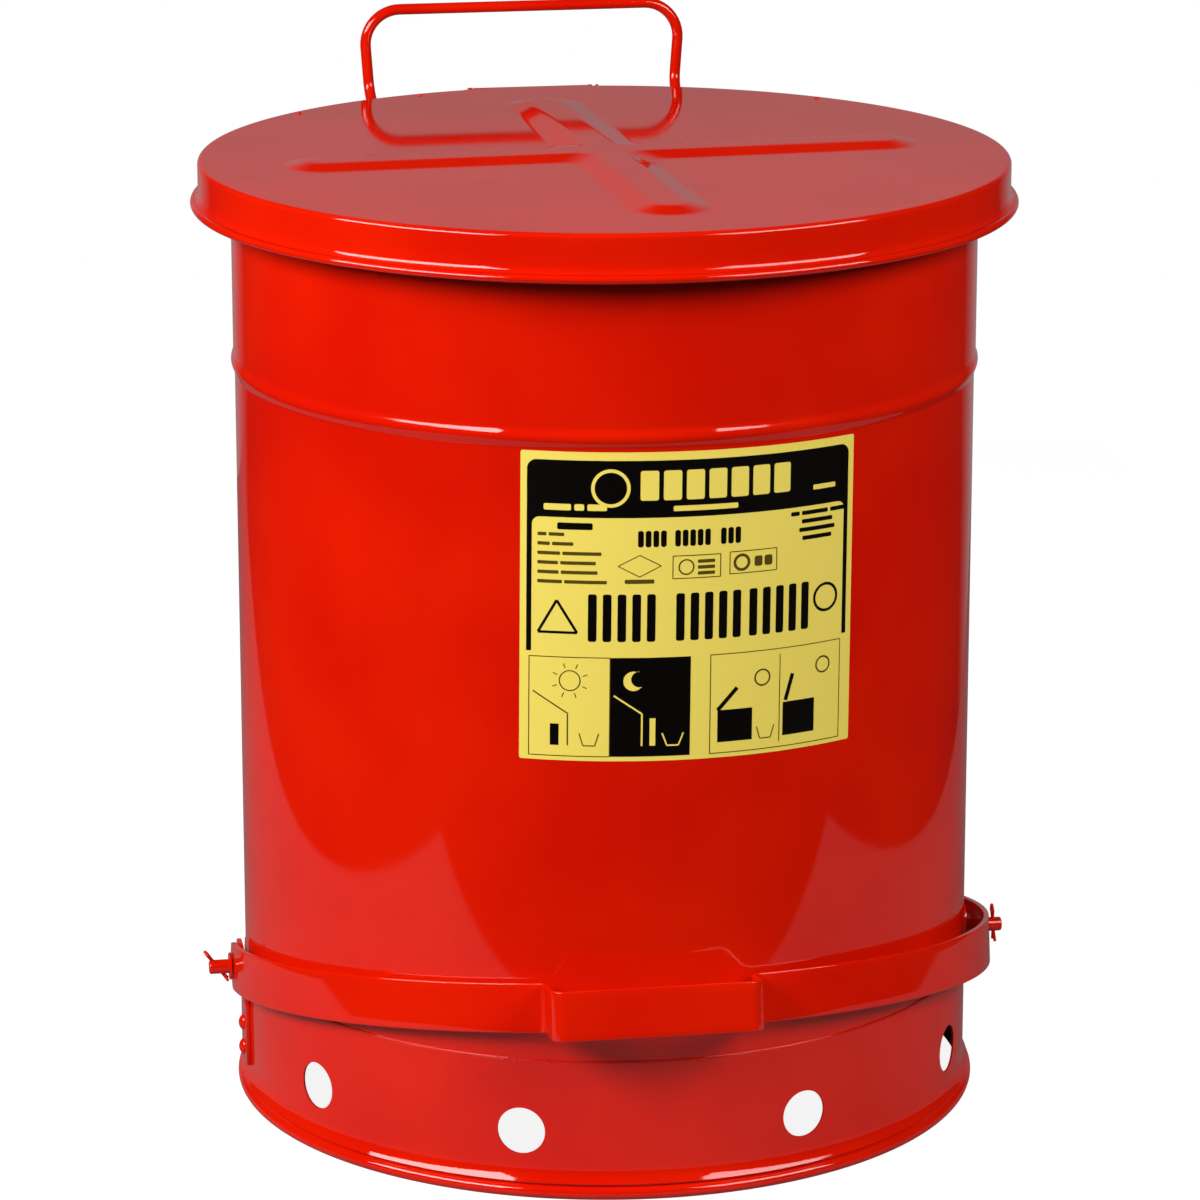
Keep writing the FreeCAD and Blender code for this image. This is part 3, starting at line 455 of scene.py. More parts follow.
# %% Wire tool
def bend_wire(points, radii, radius, sides=20, mesh_work=None, bend_steps=12):
    """A round wire through corner points, with one bend radius for each inner point."""
    work = mesh_work or bmesh.new()
    heading = (points[1] - points[0]).normalized()
    place = Matrix.Translation(points[0]) @ heading.to_track_quat("Z", "Y").to_matrix().to_4x4()
    made = bmesh.ops.create_circle(work, segments=sides, radius=radius, cap_ends=True, matrix=place)
    face = made["verts"][0].link_faces[0]
    loop = list(face.edges)
    here = points[0]

    def run(offset):
        """A straight run: push the open end along."""
        nonlocal loop
        made = bmesh.ops.extrude_edge_only(work, edges=loop)["geom"]
        verts = [item for item in made if isinstance(item, bmesh.types.BMVert)]
        bmesh.ops.translate(work, verts=verts, vec=offset)
        loop = [item for item in made if isinstance(item, bmesh.types.BMEdge)
                and all(v in verts for v in item.verts)]

    for before, corner, after, bend in zip(points, points[1:], points[2:], radii):
        back, ahead = (before - corner).normalized(), (after - corner).normalized()
        turn = math.pi - back.angle(ahead)
        reach = bend * math.tan(turn / 2)
        run(corner + back * reach - here)
        axis = (-back).cross(ahead).normalized()
        centre = corner + back * reach + axis.cross(-back) * bend
        spun = bmesh.ops.spin(work, geom=loop, cent=centre, axis=axis, angle=turn, steps=bend_steps)
        loop = [item for item in spun["geom_last"] if isinstance(item, bmesh.types.BMEdge)]
        here = corner + ahead * reach
    run(points[-1] - here)
    bmesh.ops.contextual_create(work, geom=loop)
    return work


print("wire tool ready")

# %% [markdown]
# ## Rear handle
# A wire loop stands up behind the lid. Downward its legs draw in a little, come forward under the lid's
# edge and are clamped flat to the body. It is turned by a hair about the can's axis, as bent wire sits.

# %% Handle
wire = 3.1 * MM
handle_turn = math.radians(0.72)
foot_half, knee_half, top_half = 86 * MM, 89.8 * MM, 93.2 * MM
foot_y = math.sqrt((NECK_RADIUS + wire) ** 2 - foot_half ** 2)
bar_y = LID_EDGE_RADIUS + 45.1 * MM
bar_z = handle_high.z - wire
knee_z, foot_top, foot_bottom = LID_TOP - 8.5 * MM, LID_TOP - 57.5 * MM, handle_low.z
left_leg = [Vector((-foot_half, foot_y, foot_bottom)), Vector((-foot_half, foot_y, foot_top)),
            Vector((-knee_half, bar_y, knee_z)), Vector((-top_half, bar_y, bar_z))]
right_leg = [Vector((-p.x, p.y, p.z)) for p in reversed(left_leg)]
bends = [12 * MM, 12 * MM, 20 * MM]
handle_work = bend_wire(left_leg + right_leg, bends + bends[::-1], wire, 24)
bmesh.ops.rotate(handle_work, verts=handle_work.verts, cent=(0, 0, 0),
                 matrix=Matrix.Rotation(handle_turn, 3, "Z"))
handle = finish_piece(handle_work, "wire_handle", ENAMEL_THICK, "can", crease=50)
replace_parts(handle, "rear_handle")
print("handle bar at", bar_y, bar_z)

# %% [markdown]
# ## Pedal strap
# The pedal is one strap of 26 by 3 mm steel, bent on edge. It steps out in front for the tread, and on
# the right it runs on round the back to the lift rod. It is drawn as a line in plan, extruded to its
# height and thickened. Then it is tipped about its pivots, because at rest its front stands high.

# %% Strap outline
strap_height, strap_sheet = 26 * MM, 3 * MM
strap_middle = 209 * MM
strap_shift = 3 * MM
strap_tilt = math.radians(10.4)
tread_left, tread_right = -66.5 * MM, 41.5 * MM
tread_front = 229.5 * MM
end_corner = 9 * MM


def strap_arc(start, end, step=2.5):
    """Points of the strap's long bend, between two angles from the front."""
    count = max(2, round(abs(end - start) / step))
    return [around(start + (end - start) * i / count, strap_middle, 0) for i in range(count + 1)]


def rounded_corner(before, corner, after, radius, steps=6):
    """Points of a bend that takes the place of a corner."""
    back, ahead = (before - corner).normalized(), (after - corner).normalized()
    half = back.angle(ahead) / 2
    reach = radius / math.tan(half)
    centre = corner + (back + ahead).normalized() * radius / math.sin(half)
    first, last = corner + back * reach - centre, corner + ahead * reach - centre
    return [centre + first.lerp(last, i / steps).normalized() * radius for i in range(steps + 1)]


def plan_angle(x):
    """The angle from the front at which the strap has this x."""
    return math.degrees(math.asin(x / strap_middle))


tail_angle = math.degrees(9.5 * MM / strap_middle)
past_angle = math.degrees(12 * MM / strap_middle)
left_arc = strap_arc(-90 - tail_angle, plan_angle(tread_left) - 2.2)
right_arc = strap_arc(plan_angle(tread_right) + 2.2, 180 + past_angle)
left_foot = around(plan_angle(tread_left), strap_middle, 0)
right_foot = around(plan_angle(tread_right), strap_middle, 0)
left_front = Vector((tread_left, -tread_front, 0))
right_front = Vector((tread_right, -tread_front, 0))
strap_line = left_arc + rounded_corner(left_arc[-1], left_foot, left_front, 5.2 * MM)
strap_line += rounded_corner(left_foot, left_front, right_front, 5.8 * MM)
strap_line += rounded_corner(left_front, right_front, right_foot, 5.8 * MM)
strap_line += rounded_corner(right_front, right_foot, right_arc[0], 5.2 * MM) + right_arc
print("strap line has", len(strap_line), "points")

# %% Strap mesh
lengths = [0.0]
for first, last in zip(strap_line, strap_line[1:]):
    lengths.append(lengths[-1] + (last - first).length)
strap_work = bmesh.new()
rows = []
for i in range(7):
    level = (i / 6 - 0.5) * strap_height
    rows.append([strap_work.verts.new(p + Vector((0, 0, level))) for p in strap_line])
for low_row, high_row in zip(rows, rows[1:]):
    for i in range(len(strap_line) - 1):
        strap_work.faces.new((low_row[i], low_row[i + 1], high_row[i + 1], high_row[i]))
for row in rows:
    for vert, length in zip(row, lengths):
        to_end = min(length, lengths[-1] - length)
        if to_end < end_corner:
            lost = end_corner - math.sqrt(end_corner ** 2 - (end_corner - to_end) ** 2)
            vert.co.z *= 1 - 2 * lost / strap_height
bmesh.ops.translate(strap_work, verts=strap_work.verts, vec=(strap_shift, 0, 0))
bmesh.ops.rotate(strap_work, verts=strap_work.verts, cent=(0, 0, 0),
                 matrix=Matrix.Rotation(-strap_tilt, 3, "X"))
bmesh.ops.translate(strap_work, verts=strap_work.verts, vec=(0, 0, pivot_z))
strap = finish_piece(strap_work, "pedal_strap", ENAMEL, "pedal", crease=0)
plate = strap.modifiers.new("plate", "SOLIDIFY")
plate.thickness = strap_sheet
plate.offset = 0
edge_round = strap.modifiers.new("edge", "BEVEL")
edge_round.width = 0.6 * MM
edge_round.segments = 3
edge_round.limit_method = "ANGLE"
edge_round.angle_limit = math.radians(50)
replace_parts(strap, "foot_strap")
print("strap length %.3f m" % lengths[-1])

# %% [markdown]
# ## Turned pieces
# Pins, washers and rivets are round, so each is a short outline spun about its own axis and then laid
# along the way it points. Every edge is rounded, because paint always softens an edge.

# %% Lathe tool
def turned_piece(outline, place, direction, mesh_work=None, steps=32):
    """Spin an outline of (radius, length) and lay it along a direction from a place."""
    fresh = spin_outline(outline, steps, closed=False)
    bmesh.ops.remove_doubles(fresh, verts=fresh.verts, dist=0.000005)
    turn = direction.to_track_quat("Z", "Y").to_matrix().to_4x4()
    bmesh.ops.transform(fresh, matrix=Matrix.Translation(place) @ turn, verts=fresh.verts)
    if mesh_work is None:
        return fresh
    data = bpy.data.meshes.new("part")
    fresh.to_mesh(data)
    fresh.free()
    mesh_work.from_mesh(data)
    bpy.data.meshes.remove(data)
    return mesh_work


def pin_outline(radius, length, chamfer):
    """A round bar with a softened chamfer at its far end."""
    return [(0, 0), (radius, 0), (radius, length - chamfer), (radius - 0.3 * chamfer, length - 0.3 * chamfer),
            (radius - chamfer, length), (0, length)]


def washer_outline(inner, outer, thickness, soft):
    """A flat ring with soft outer edges."""
    return [(inner, 0), (outer - soft, 0), (outer, soft), (outer, thickness - soft),
            (outer - soft, thickness), (inner, thickness), (inner, 0)]


def dome_outline(radius, rise):
    """A low dome that starts just below the sheet it sits on."""
    ball = (radius ** 2 + rise ** 2) / (2 * rise)
    spread = math.degrees(math.asin(radius / ball))
    return [(0, -0.4 * MM), (radius, -0.4 * MM)] + arc((0, rise - ball), ball, 90 - spread, 90, 8)


print("lathe ready")

# %% [markdown]
# ## Pivots
# At each side a joggled bracket is riveted to the base ring. A pin goes through the bracket and the
# strap, and a split cotter holds it. The left cotter has slipped askew, the right one stands upright.

# %% Brackets
bracket_sheet, bracket_half, joggle = 2.4 * MM, 12.5 * MM, 2.2 * MM
head_top, head_corner = 85 * MM, 8.75 * MM
joggle_steps = ((0, 17), (0, 30), (0, 44), (0, 50.5), (0.25, 53.5), (0.75, 58.5), (1, 61.5), (1, 70), (1, 76))
bracket_line = [(RING_RADIUS + share * joggle, height * MM) for share, height in joggle_steps]
for bend in (15, 40, 65, 90):
    rise = head_top - head_corner * (1 - math.sin(math.radians(bend)))
    bracket_line.append((RING_RADIUS + joggle, rise))


def bracket(side, name):
    """A strip with a joggle and a round head, on the left (-1) or right (1) of the ring."""
    work = bmesh.new()
    columns = 10
    grid = []
    for radius, z in bracket_line:
        above = max(z - (head_top - head_corner), 0)
        narrowing = head_corner - math.sqrt(max(head_corner ** 2 - above ** 2, 0)) if above else 0
        half = bracket_half - min(narrowing, head_corner)
        spread = [math.degrees(half * (2 * i / columns - 1) / radius) for i in range(columns + 1)]
        grid.append([work.verts.new(around(side * 90 + turn, radius, z)) for turn in spread])
    for low_row, high_row in zip(grid, grid[1:]):
        for i in range(columns):
            work.faces.new((low_row[i], low_row[i + 1], high_row[i + 1], high_row[i]))
    piece = finish_piece(work, name, ENAMEL_THICK, "can", crease=0)
    first = piece.data.polygons[0]
    if first.center.to_2d().dot(first.normal.to_2d()) < 0:
        piece.data.flip_normals()
    plate = piece.modifiers.new("plate", "SOLIDIFY")
    plate.thickness = bracket_sheet
    plate.offset = 1
    soft = piece.modifiers.new("edge", "BEVEL")
    soft.width = 0.45 * MM
    soft.segments = 2
    soft.limit_method = "ANGLE"
    soft.angle_limit = math.radians(50)
    return piece


for side, word in ((-1, "left"), (1, "right")):
    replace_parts(bracket(side, word + "_joggled_bracket"), word + "_pivot_bracket")
print("brackets", bracket_half * 2, "wide, up to", head_top)

# %% Bracket rivets, pins and washers
strap_outer = 210.5 * MM
pin_radius, pin_reach = 3.9 * MM, 12.5 * MM
cotter_reach = 8.0 * MM

for side, word in ((-1, "left"), (1, "right")):
    way = Vector((side, 0, 0))
    rivet_work = bmesh.new()
    for z in (24 * MM, 38 * MM):
        head_place = Vector((side * (RING_RADIUS + bracket_sheet), 0, z))
        turned_piece(dome_outline(4.6 * MM, 2.6 * MM), head_place, way, rivet_work)
        tail_place = Vector((side * (ring_inner - 0.05 * MM), 0, z))
        turned_piece(pin_outline(4.4 * MM, 1.0 * MM, 0.3 * MM), tail_place, -way, rivet_work)
    rivets = finish_piece(rivet_work, word + "_domed_rivets", ENAMEL_THICK, "can")
    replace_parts(rivets, word + "_bracket_rivets")
    face = strap_outer + side * strap_shift
    start = RING_RADIUS + 0.4 * MM
    pin_place = Vector((side * start, 0, pivot_z))
    pin_work = turned_piece(pin_outline(pin_radius, face + pin_reach - start, 0.9 * MM), pin_place, way)
    turned_piece(pin_outline(5.8 * MM, 1.2 * MM, 0.3 * MM), pin_place, way, pin_work)
    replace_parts(finish_piece(pin_work, word + "_drilled_pin", ENAMEL_THICK, "can"), word + "_pivot_pin")
    washer_work = turned_piece(washer_outline(pin_radius, 7.5 * MM, 1.2 * MM, 0.3 * MM),
                               Vector((side * (face + 0.3 * MM), 0, pivot_z)), way)
    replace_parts(finish_piece(washer_work, word + "_flat_washer", ENAMEL_THICK, "can"), word + "_pivot_washer")
print("pins at height", pivot_z, "radius", pin_radius)


# %% [markdown]
# ## Split cotters
# A cotter is half-round wire folded double: an eye at the bend and two legs. Pushed through the pin, its
# legs are spread so that it can't fall out.

# %% Cotters
def cotter(name, node, place, turn, legs, top):
    """A split cotter through a place: its legs hang down and its eye stands up, before it is turned."""
    work = bmesh.new()
    half, eye = 0.85 * MM, 2.5 * MM
    for way in (-1, 1):
        points = [Vector((0, way * (half + 0.4 * legs), -1.75 * legs)), Vector((0, way * half, -0.75 * legs)),
                  Vector((0, way * half, top)), Vector((0, way * (eye + 0.2 * MM), top + 1.2 * eye)),
                  Vector((0, way * 0.01 * MM, top + 2.35 * eye))]
        bend_wire(points, [2.0 * MM, 1.2 * MM, 2.2 * MM], half, 12, work, 5)
    bmesh.ops.transform(work, matrix=Matrix.Translation(place) @ turn, verts=work.verts)
    piece = finish_piece(work, name, ENAMEL_THICK, "can", crease=50)
    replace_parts(piece, node)


for side, word, lean in ((-1, "left", 37), (1, "right", -4)):
    spot = Vector((side * (strap_outer + side * strap_shift + cotter_reach), 0, pivot_z))
    askew = Matrix.Rotation(math.radians(lean * side), 4, "Y")
    cotter(word + "_split_cotter", word + "_pivot_cotter", spot, askew, 5.4 * MM, 5.6 * MM)
hinge_cotter_low, hinge_cotter_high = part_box("hinge_cotter")
hinge_cotter_x = (hinge_cotter_low.x + hinge_cotter_high.x) / 2
laid_back = Matrix.Rotation(math.radians(-70), 4, "X")
hinge_spot = Vector((hinge_cotter_x, hinge_y, hinge_z))
cotter("hinge_split_cotter", "hinge_cotter", hinge_spot, laid_back, 5 * MM, 4 * MM)
print("three cotters; the hinge's at", hinge_spot)

# %% [markdown]
# ## Lift rod and hinge
# These work behind the can. Where the CAD shape is already right, a copy is merged, smoothed and given a
# small bevel, so that its painted edges catch light; the copy then stands for its node.

# %% Copies with soft edges
def softened(node, body, width=0.35 * MM, crease=32.0):
    """A merged copy of a CAD node, with small bevels on its sharp edges."""
    work = bmesh.new()
    work.from_mesh(frame["nodes"][node].data)
    bmesh.ops.remove_doubles(work, verts=work.verts, dist=0.00002)
    bmesh.ops.dissolve_limit(work, angle_limit=math.radians(0.6), verts=work.verts, edges=work.edges)
    data = bpy.data.meshes.new(node + "_painted")
    work.to_mesh(data)
    work.free()
    data.shade_smooth()
    piece = bpy.data.objects.new(node + "_painted", data)
    bpy.context.collection.objects.link(piece)
    data.materials.clear()
    data.materials.append(ENAMEL_THICK)
    data.set_sharp_from_angle(angle=math.radians(crease))
    if width:
        soft = piece.modifiers.new("edge", "BEVEL")
        soft.width = width
        soft.segments = 2
        soft.limit_method = "ANGLE"
        soft.angle_limit = math.radians(crease)
        soft.use_clamp_overlap = True
    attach(piece, body)
    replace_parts(piece, node)
    return piece


for node, body in (("hinge_bracket", "can"), ("lower_rod_guide", "can"), ("upper_rod_guide", "can"),
                   ("handle_clamps", "can"), ("hinge_bracket_rivets", "can"), ("guide_rivets", "can"),
                   ("handle_clamp_rivets", "can"), ("hinge_pin", "can"), ("lid_hinge_leaf", "lid"),
                   ("lid_stiffener", "lid"), ("lift_pad", "lifter")):
    softened(node, body, 0.0 if "rivets" in node else 0.35 * MM)

# %% Lift rod
rod_low, rod_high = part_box("lift_rod")
rod = 3.2 * MM
rod_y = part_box("lift_pad")[1].y - 6.0 * MM
hook_z = rod_low.z + rod
rod_path = [Vector((0, rod_low.y, hook_z)), Vector((0, rod_y, hook_z)), Vector((0, rod_y, rod_high.z))]
rod_work = bend_wire(rod_path, [6 * MM], rod, 28)
lift_rod = finish_piece(rod_work, "lift_rod_bar", ENAMEL_THICK, "lifter", crease=50)
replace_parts(lift_rod, "lift_rod")
print("rod y", rod_y, "hook", hook_z, "top", rod_high.z)

# %% [markdown]
# ## Weld pips
# The strip under the lid's rear edge is held by four projection welds. Each leaves a small dome on the
# outside, so each is a spun dome set on the lid's top.

# %% Weld pips on the lid
pip_work = bmesh.new()
pip_radius, pip_rise = 1.5 * MM, 1.0 * MM
pip_circle = 209.45 * MM
for side in (-1, 1):
    for angle in (20.4, 44.5):
        spot = around(180 + side * angle, pip_circle, LID_TOP)
        turned_piece(dome_outline(pip_radius, pip_rise), spot, Vector((0, 0, 1)), pip_work, 16)
pips = finish_piece(pip_work, "projection_weld_pips", ENAMEL_THICK, "lid")
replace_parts(pips, "lid_weld_pips")
print("four pips at radius", pip_circle)

# %% [markdown]
# ## Label
# The label keeps its layout only: a black head with rounded corners and side bars, rows of plain bars
# where a real label has words, and a row of plain panels below. Each shape is drawn flat in millimetres
# from the label's lower left corner, cut into narrow strips, then wrapped round the body.

# %% Label drawing tools
label_width, label_height = 181.0, 162.4
label_angle = 4.0
label_low = 238.4
label_lean = math.radians(-0.55)
STRIP = 4.0


def wrap_to_body(work, lift):
    """Cut a flat drawing into strips and wrap it round the body, lifted off it a little."""
    for i in range(1, math.ceil(label_width / STRIP)):
        bmesh.ops.bisect_plane(work, geom=work.verts[:] + work.edges[:] + work.faces[:], dist=0.0001,
                               plane_co=(i * STRIP, 0, 0), plane_no=(1, 0, 0))
    for vert in work.verts:
        x, z = vert.co.x - label_width / 2, vert.co.y - label_height / 2
        x, z = (x * math.cos(label_lean) - z * math.sin(label_lean),
                x * math.sin(label_lean) + z * math.cos(label_lean))
        turn = label_angle + math.degrees(x * MM / BODY_RADIUS)
        vert.co = around(turn, BODY_RADIUS + lift * MM, (label_low + label_height / 2 + z) * MM)


def flat_shape(work, corners):
    """One flat face from its corners."""
    face = work.faces.new([work.verts.new((x, y, 0)) for x, y in corners])
    face.normal_update()
    if face.normal.z < 0:
        face.normal_flip()


def block(work, left, low, right, high, corner=0.0):
    """A rectangle, with rounded corners if asked."""
    if not corner:
        flat_shape(work, [(left, low), (right, low), (right, high), (left, high)])
        return
    points = []
    for x, y, start in ((right - corner, high - corner, 0), (left + corner, high - corner, 90),
                        (left + corner, low + corner, 180), (right - corner, low + corner, 270)):
        points += arc((x, y), corner, start, start + 90, 6)
    flat_shape(work, points)


def hoop(work, x, y, radius, line):
    """A ring of ink."""
    outer = bmesh.ops.create_circle(work, segments=40, radius=radius, matrix=Matrix.Translation((x, y, 0)))
    inner = bmesh.ops.create_circle(work, segments=40, radius=radius - line,
                                    matrix=Matrix.Translation((x, y, 0)))
    edges = {edge for vert in outer["verts"] + inner["verts"] for edge in vert.link_edges}
    made = bmesh.ops.bridge_loops(work, edges=list(edges))
    for face in made["faces"]:
        face.normal_update()
        if face.normal.z < 0:
            face.normal_flip()


def stroke(work, x0, y0, x1, y1, line):
    """A straight line of ink."""
    along = Vector((x1 - x0, y1 - y0)).normalized() * line / 2
    side = Vector((-along.y, along.x))
    flat_shape(work, [(x0 - side.x, y0 - side.y), (x1 - side.x, y1 - side.y), (x1 + side.x, y1 + side.y),
                      (x0 + side.x, y0 + side.y)])


def frame_box(work, left, low, right, high, line):
    """The four sides of a thin frame."""
    stroke(work, left, low, right, low, line)
    stroke(work, right, low, right, high, line)
    stroke(work, right, high, left, high, line)
    stroke(work, left, high, left, low, line)


def words(work, left, middle, height, lengths, gap):
    """A row of plain bars that stands for words."""
    x = left
    for length in lengths:
        block(work, x, middle - height / 2, x + length, middle + height / 2, min(0.25 * height, 1.2))
        x += length + gap


def print_layer(name, work, material, lift):
    """Wrap a flat drawing round the body and finish it as one layer of print."""
    wrap_to_body(work, lift)
    return finish_piece(work, name, material, "can", crease=0, recalc=False)


print("label tools ready")

# %% Label film
film_work = bmesh.new()
block(film_work, 0, 0, label_width, label_height, 1.2)
film = print_layer("label_film", film_work, FILM_YELLOW, 0.12)
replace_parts(film, "instruction_label")
print("film faces", len(film.data.polygons))

# %% Label print: black head, side bars and window
head_work = bmesh.new()
head_left, head_right, head_top = 3.4, label_width - 3.4, label_height - 4.4
head_foot, bar_foot = label_height * 0.79, label_height * 0.355
block(head_work, head_left, head_foot, head_right, head_top - 5)
block(head_work, head_left + 5, head_top - 5, head_right - 5, head_top)
flat_shape(head_work, [(head_left + 5, head_top - 5)] + arc((head_left + 5, head_top - 5), 5, 90, 180, 8))
flat_shape(head_work, [(head_right - 5, head_top - 5)] + arc((head_right - 5, head_top - 5), 5, 0, 90, 8))
side_bar = 2.6
corner_left, corner_right = head_left + side_bar, head_right - side_bar
block(head_work, head_left, bar_foot, corner_left, head_foot)
block(head_work, corner_right, bar_foot, head_right, head_foot)
flat_shape(head_work, [(corner_left, head_foot)] + arc((corner_left + 4, head_foot - 4), 4, 90, 180, 6))
flat_shape(head_work, [(corner_right, head_foot)] + arc((corner_right - 4, head_foot - 4), 4, 90, 0, 6))
print_layer("label_black_head", head_work, INK_BLACK, 0.16)
print("black head from", head_foot, "to", head_top)

# %% Label print: yellow bars on the head
light_work = bmesh.new()
words(light_work, 61, label_height * 0.893, 15.5, (9.4,) * 7, 2.4)
hoop(light_work, 46, label_height * 0.885, 10.0, 1.8)
words(light_work, 12, label_height * 0.823, 3.4, (14, 5, 10), 1.6)
words(light_work, 78, label_height * 0.818, 2.8, (34,), 1)
words(light_work, 155, label_height * 0.848, 2.6, (14,), 1)
print_layer("label_yellow_bars", light_work, FILM_YELLOW, 0.2)
print("yellow bars ready")

# %% Label print: middle rows
middle_work = bmesh.new()
words(middle_work, 19, label_height * 0.762, 3.6, (18,), 1)
for start, count in ((60, 4), (79, 5), (103, 3)):
    words(middle_work, start, label_height * 0.722, 8.6, (2.9,) * count, 1.0)
for i, length in enumerate((19, 22, 18)):
    words(middle_work, 158 - length / 2, label_height * (0.742 - 0.027 * i), 2.2, (length,), 1)
words(middle_work, 142, label_height * 0.769, 2.2, (5, 16, 9), 1.5)
for start in (35, 80, 119):
    words(middle_work, start, label_height * 0.467, 25, (4.4,) * 5, 3.1)
hoop(middle_work, 164, label_height * 0.485, 7.8, 1.5)
for x0, y0, x1, y1 in ((9.5, 0.418, 19, 0.522), (19, 0.522, 29.5, 0.418), (29.5, 0.418, 9.5, 0.418)):
    stroke(middle_work, x0, label_height * y0, x1, label_height * y1, 1.4)
print_layer("label_black_rows", middle_work, INK_BLACK, 0.16)
print("black rows ready")

# %% Label print: fine rows and small frames
fine_work = bmesh.new()
for i, length in enumerate((13, 18, 33, 30, 31, 36)):
    words(fine_work, 9, label_height * (0.735 - 0.0305 * i), 1.8, (length * 0.35, length * 0.6), 1.2)
diamond = ((50, 0.635), (61, 0.67), (72, 0.635), (61, 0.6))
for (x0, y0), (x1, y1) in zip(diamond, diamond[1:] + diamond[:1]):
    stroke(fine_work, x0, label_height * y0, x1, label_height * y1, 0.5)
words(fine_work, 53.5, label_height * 0.585, 2.2, (15,), 1)
frame_box(fine_work, 78, label_height * 0.592, 103, label_height * 0.665, 0.5)
hoop(fine_work, 85, label_height * 0.628, 4.2, 0.8)
for i in range(3):
    words(fine_work, 91, label_height * (0.645 - 0.019 * i), 1.8, (9,), 1)
frame_box(fine_work, 108, label_height * 0.597, 134, label_height * 0.668, 0.5)
hoop(fine_work, 114.5, label_height * 0.632, 4.6, 1.5)
words(fine_work, 121.5, label_height * 0.632, 5.4, (4.4, 4.4), 1.2)
print_layer("label_fine_rows", fine_work, INK_OLIVE, 0.17)
print("fine rows ready")

# %% Label print: lower panels
panel_low, panel_high = label_height * 0.015, label_height * 0.338
panel_work = bmesh.new()
block(panel_work, 46.5, panel_low, 88, panel_high)
for left, high in ((102.5, 0.155), (139, 0.16)):
    block(panel_work, left, label_height * 0.05, left + 19, label_height * high)
for x0, y0, x1, y1 in ((102.5, 0.155, 113, 0.225), (140.5, 0.165, 144.5, 0.25)):
    stroke(panel_work, x0, label_height * y0, x1, label_height * y1, 2.2)
block(panel_work, 16, label_height * 0.05, 20.5, label_height * 0.12)
print_layer("label_black_panels", panel_work, INK_BLACK, 0.16)
print("panels from", panel_low, "to", panel_high)

# %% Label print: thin lines in the panels
line_work = bmesh.new()
frame_box(line_work, 5, panel_low, 46.5, panel_high, 0.5)
frame_box(line_work, 98.5, panel_low, 174, panel_high, 0.5)
stroke(line_work, 137, panel_low + 3, 137, panel_high - 3, 0.5)
hoop(line_work, 26, label_height * 0.262, 5.6, 0.6)
for i in range(8):
    way = Vector((math.cos(i * math.tau / 8 + 0.35), math.sin(i * math.tau / 8 + 0.35)))
    stroke(line_work, 26 + 7 * way.x, label_height * 0.262 + 7 * way.y, 26 + 9.6 * way.x,
           label_height * 0.262 + 9.6 * way.y, 0.5)
hoop(line_work, 127, label_height * 0.25, 4.6, 0.9)
hoop(line_work, 163, label_height * 0.265, 4.6, 0.9)
stroke(line_work, 7, label_height * 0.225, 25, label_height * 0.155, 0.7)
stroke(line_work, 25, label_height * 0.155, 25, label_height * 0.05, 0.7)
for x in (31, 124):
    stroke(line_work, x + 2, label_height * 0.05, x, label_height * 0.09, 0.6)
    stroke(line_work, x + 2, label_height * 0.05, x + 8, label_height * 0.05, 0.6)
    stroke(line_work, x + 8, label_height * 0.05, x + 10, label_height * 0.09, 0.6)
print_layer("label_fine_lines", line_work, INK_OLIVE, 0.17)
print("thin lines ready")

# %% Label print: yellow shapes on the dark panel
night_work = bmesh.new()
crescent = arc((58.5, label_height * 0.262), 5.2, 70, 300, 16)
crescent += arc((61.5, label_height * 0.268), 4.2, 290, 85, 14)
flat_shape(night_work, crescent)
stroke(night_work, 48.5, label_height * 0.215, 63, label_height * 0.155, 0.9)
stroke(night_work, 63, label_height * 0.155, 63, label_height * 0.05, 0.9)
block(night_work, 67, label_height * 0.05, 70, label_height * 0.14)
stroke(night_work, 76, label_height * 0.05, 73.5, label_height * 0.09, 0.8)
stroke(night_work, 76, label_height * 0.05, 82, label_height * 0.05, 0.8)
stroke(night_work, 82, label_height * 0.05, 84.5, label_height * 0.09, 0.8)
print_layer("label_night_shapes", night_work, FILM_YELLOW, 0.2)
print("label pieces ready, meshes", len(bpy.data.meshes))

# %% [markdown]
# ## Floor, light and camera
# The can stands on a pale table. Two large soft lights stand in front, left stronger than right, and the
# room behind is white while the room in front is dark. That gives the gloss its look: dark red faces,
# pale edges where the sheet turns away, and a pink veil over the lid, which mirrors the white room.

# %% Floor
floor_work = bmesh.new()
bmesh.ops.create_grid(floor_work, x_segments=8, y_segments=8, size=0.5)
bmesh.ops.scale(floor_work, verts=floor_work.verts, vec=(1.3, 1.85, 1))
bmesh.ops.translate(floor_work, verts=floor_work.verts, vec=(0, 0.475, -0.0002))
floor_data = bpy.data.meshes.new("pale_table")
floor_work.to_mesh(floor_data)
floor_work.free()
floor = bpy.data.objects.new("pale_table", floor_data)
bpy.context.collection.objects.link(floor)
paper, paper_tree, paper_output, paper_place = start_material("pale_backdrop_paper")
tooth = add_node(paper_tree, "ShaderNodeTexNoise", {"Scale": 1 / (2 * MM)}, Vector=paper_place)
tooth_bump = add_node(paper_tree, "ShaderNodeBump", {"Strength": 0.05, "Distance": 0.1 * MM},
                      Height=tooth.outputs[0])
paper_shader = add_node(paper_tree, "ShaderNodeBsdfDiffuse", {"Color": linear("#959595")},
                        Normal=tooth_bump.outputs[0])
paper_glow = add_node(paper_tree, "ShaderNodeEmission", {"Color": linear("#FFFFFF"), "Strength": 0.9})
paper_lit = add_node(paper_tree, "ShaderNodeAddShader", i0=paper_shader.outputs[0], i1=paper_glow.outputs[0])
paper_look = add_node(paper_tree, "ShaderNodeLightPath")
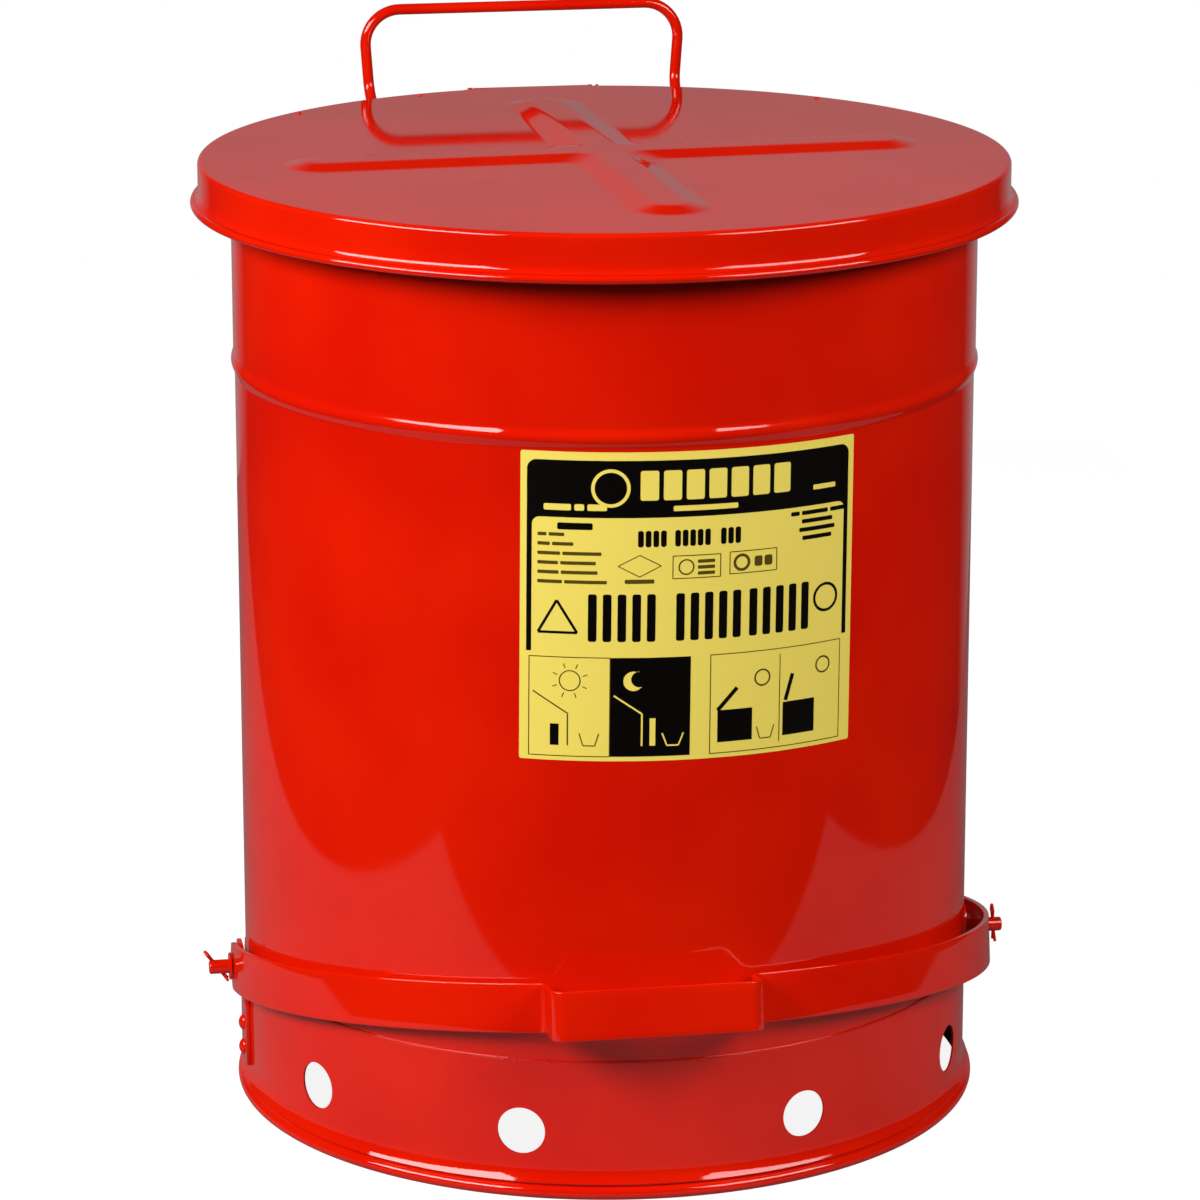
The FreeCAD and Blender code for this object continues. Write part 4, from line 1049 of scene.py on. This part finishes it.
paper_mix = add_node(paper_tree, "ShaderNodeMixShader", Fac=paper_look.outputs["Is Camera Ray"],
                     i1=paper_shader.outputs[0], i2=paper_lit.outputs[0])
paper_tree.links.new(paper_mix.outputs[0], paper_output.inputs["Surface"])
floor_data.materials.append(paper)
print("floor spans", tuple(floor.dimensions))

# %% World
view_turn = math.radians(9.6)
behind = Vector((math.sin(view_turn), math.cos(view_turn), 0))
world = bpy.data.worlds.new("studio")
bpy.context.scene.world = world
world.use_nodes = True
sky = world.node_tree
sky.nodes.clear()
heading = add_node(sky, "ShaderNodeTexCoord")
toward = add_node(sky, "ShaderNodeVectorMath", {"operation": "DOT_PRODUCT"}, i0=heading.outputs["Generated"])
toward.inputs[1].default_value = behind
back_wall = add_node(sky, "ShaderNodeMapRange",
                     {"From Min": 0.82, "From Max": 0.93, "To Min": 0.015, "To Max": 0.26},
                     Value=toward.outputs["Value"])
look = add_node(sky, "ShaderNodeLightPath")
seen = add_node(sky, "ShaderNodeMath", {"operation": "MAXIMUM"}, i0=back_wall.outputs[0],
                i1=look.outputs["Is Camera Ray"])
glow = add_node(sky, "ShaderNodeBackground", {"Color": linear("#FFFFFF")}, Strength=seen.outputs[0])
add_node(sky, "ShaderNodeOutputWorld", Surface=glow.outputs[0])
print("world ready, bright towards", behind)

# %% Lights
def soft_light(name, turn, rise, distance, size, power):
    """A broad soft light aimed at the can's middle; turn is counted from the camera's side."""
    heading = math.radians(turn) - view_turn
    level = math.radians(rise)
    way = Vector((math.sin(heading) * math.cos(level), -math.cos(heading) * math.cos(level), math.sin(level)))
    data = bpy.data.lights.new(name, "AREA")
    data.shape = "RECTANGLE"
    data.size, data.size_y = size
    data.energy = power
    lamp = bpy.data.objects.new(name, data)
    bpy.context.collection.objects.link(lamp)
    lamp.location = Vector((0, 0, 0.3)) + way * distance
    lamp.rotation_euler = (-way).to_track_quat("-Z", "Y").to_euler()


soft_light("left_soft_box", -54, 29, 2.1, (1.7, 0.8), 52)
soft_light("right_soft_box", 54, 31, 2.1, (1.5, 0.8), 29.5)
print("lights", [lamp.name for lamp in bpy.data.lights])

# %% Camera
camera_distance, camera_height, camera_pitch = 2.7913, 1.034, 15.31
camera_data = bpy.data.cameras.new("camera")
camera = bpy.data.objects.new("camera", camera_data)
bpy.context.collection.objects.link(camera)
camera.location = (-camera_distance * behind.x, -camera_distance * behind.y, camera_height)
camera.rotation_euler = (math.radians(90 - camera_pitch), 0, -view_turn)
camera_data.sensor_width = 36.0
camera_data.lens = 159.117
camera_data.shift_x = -0.00367
bpy.context.scene.camera = camera
bpy.context.scene.view_settings.view_transform = "Standard"
print("camera at", camera.location, "lens", camera_data.lens)
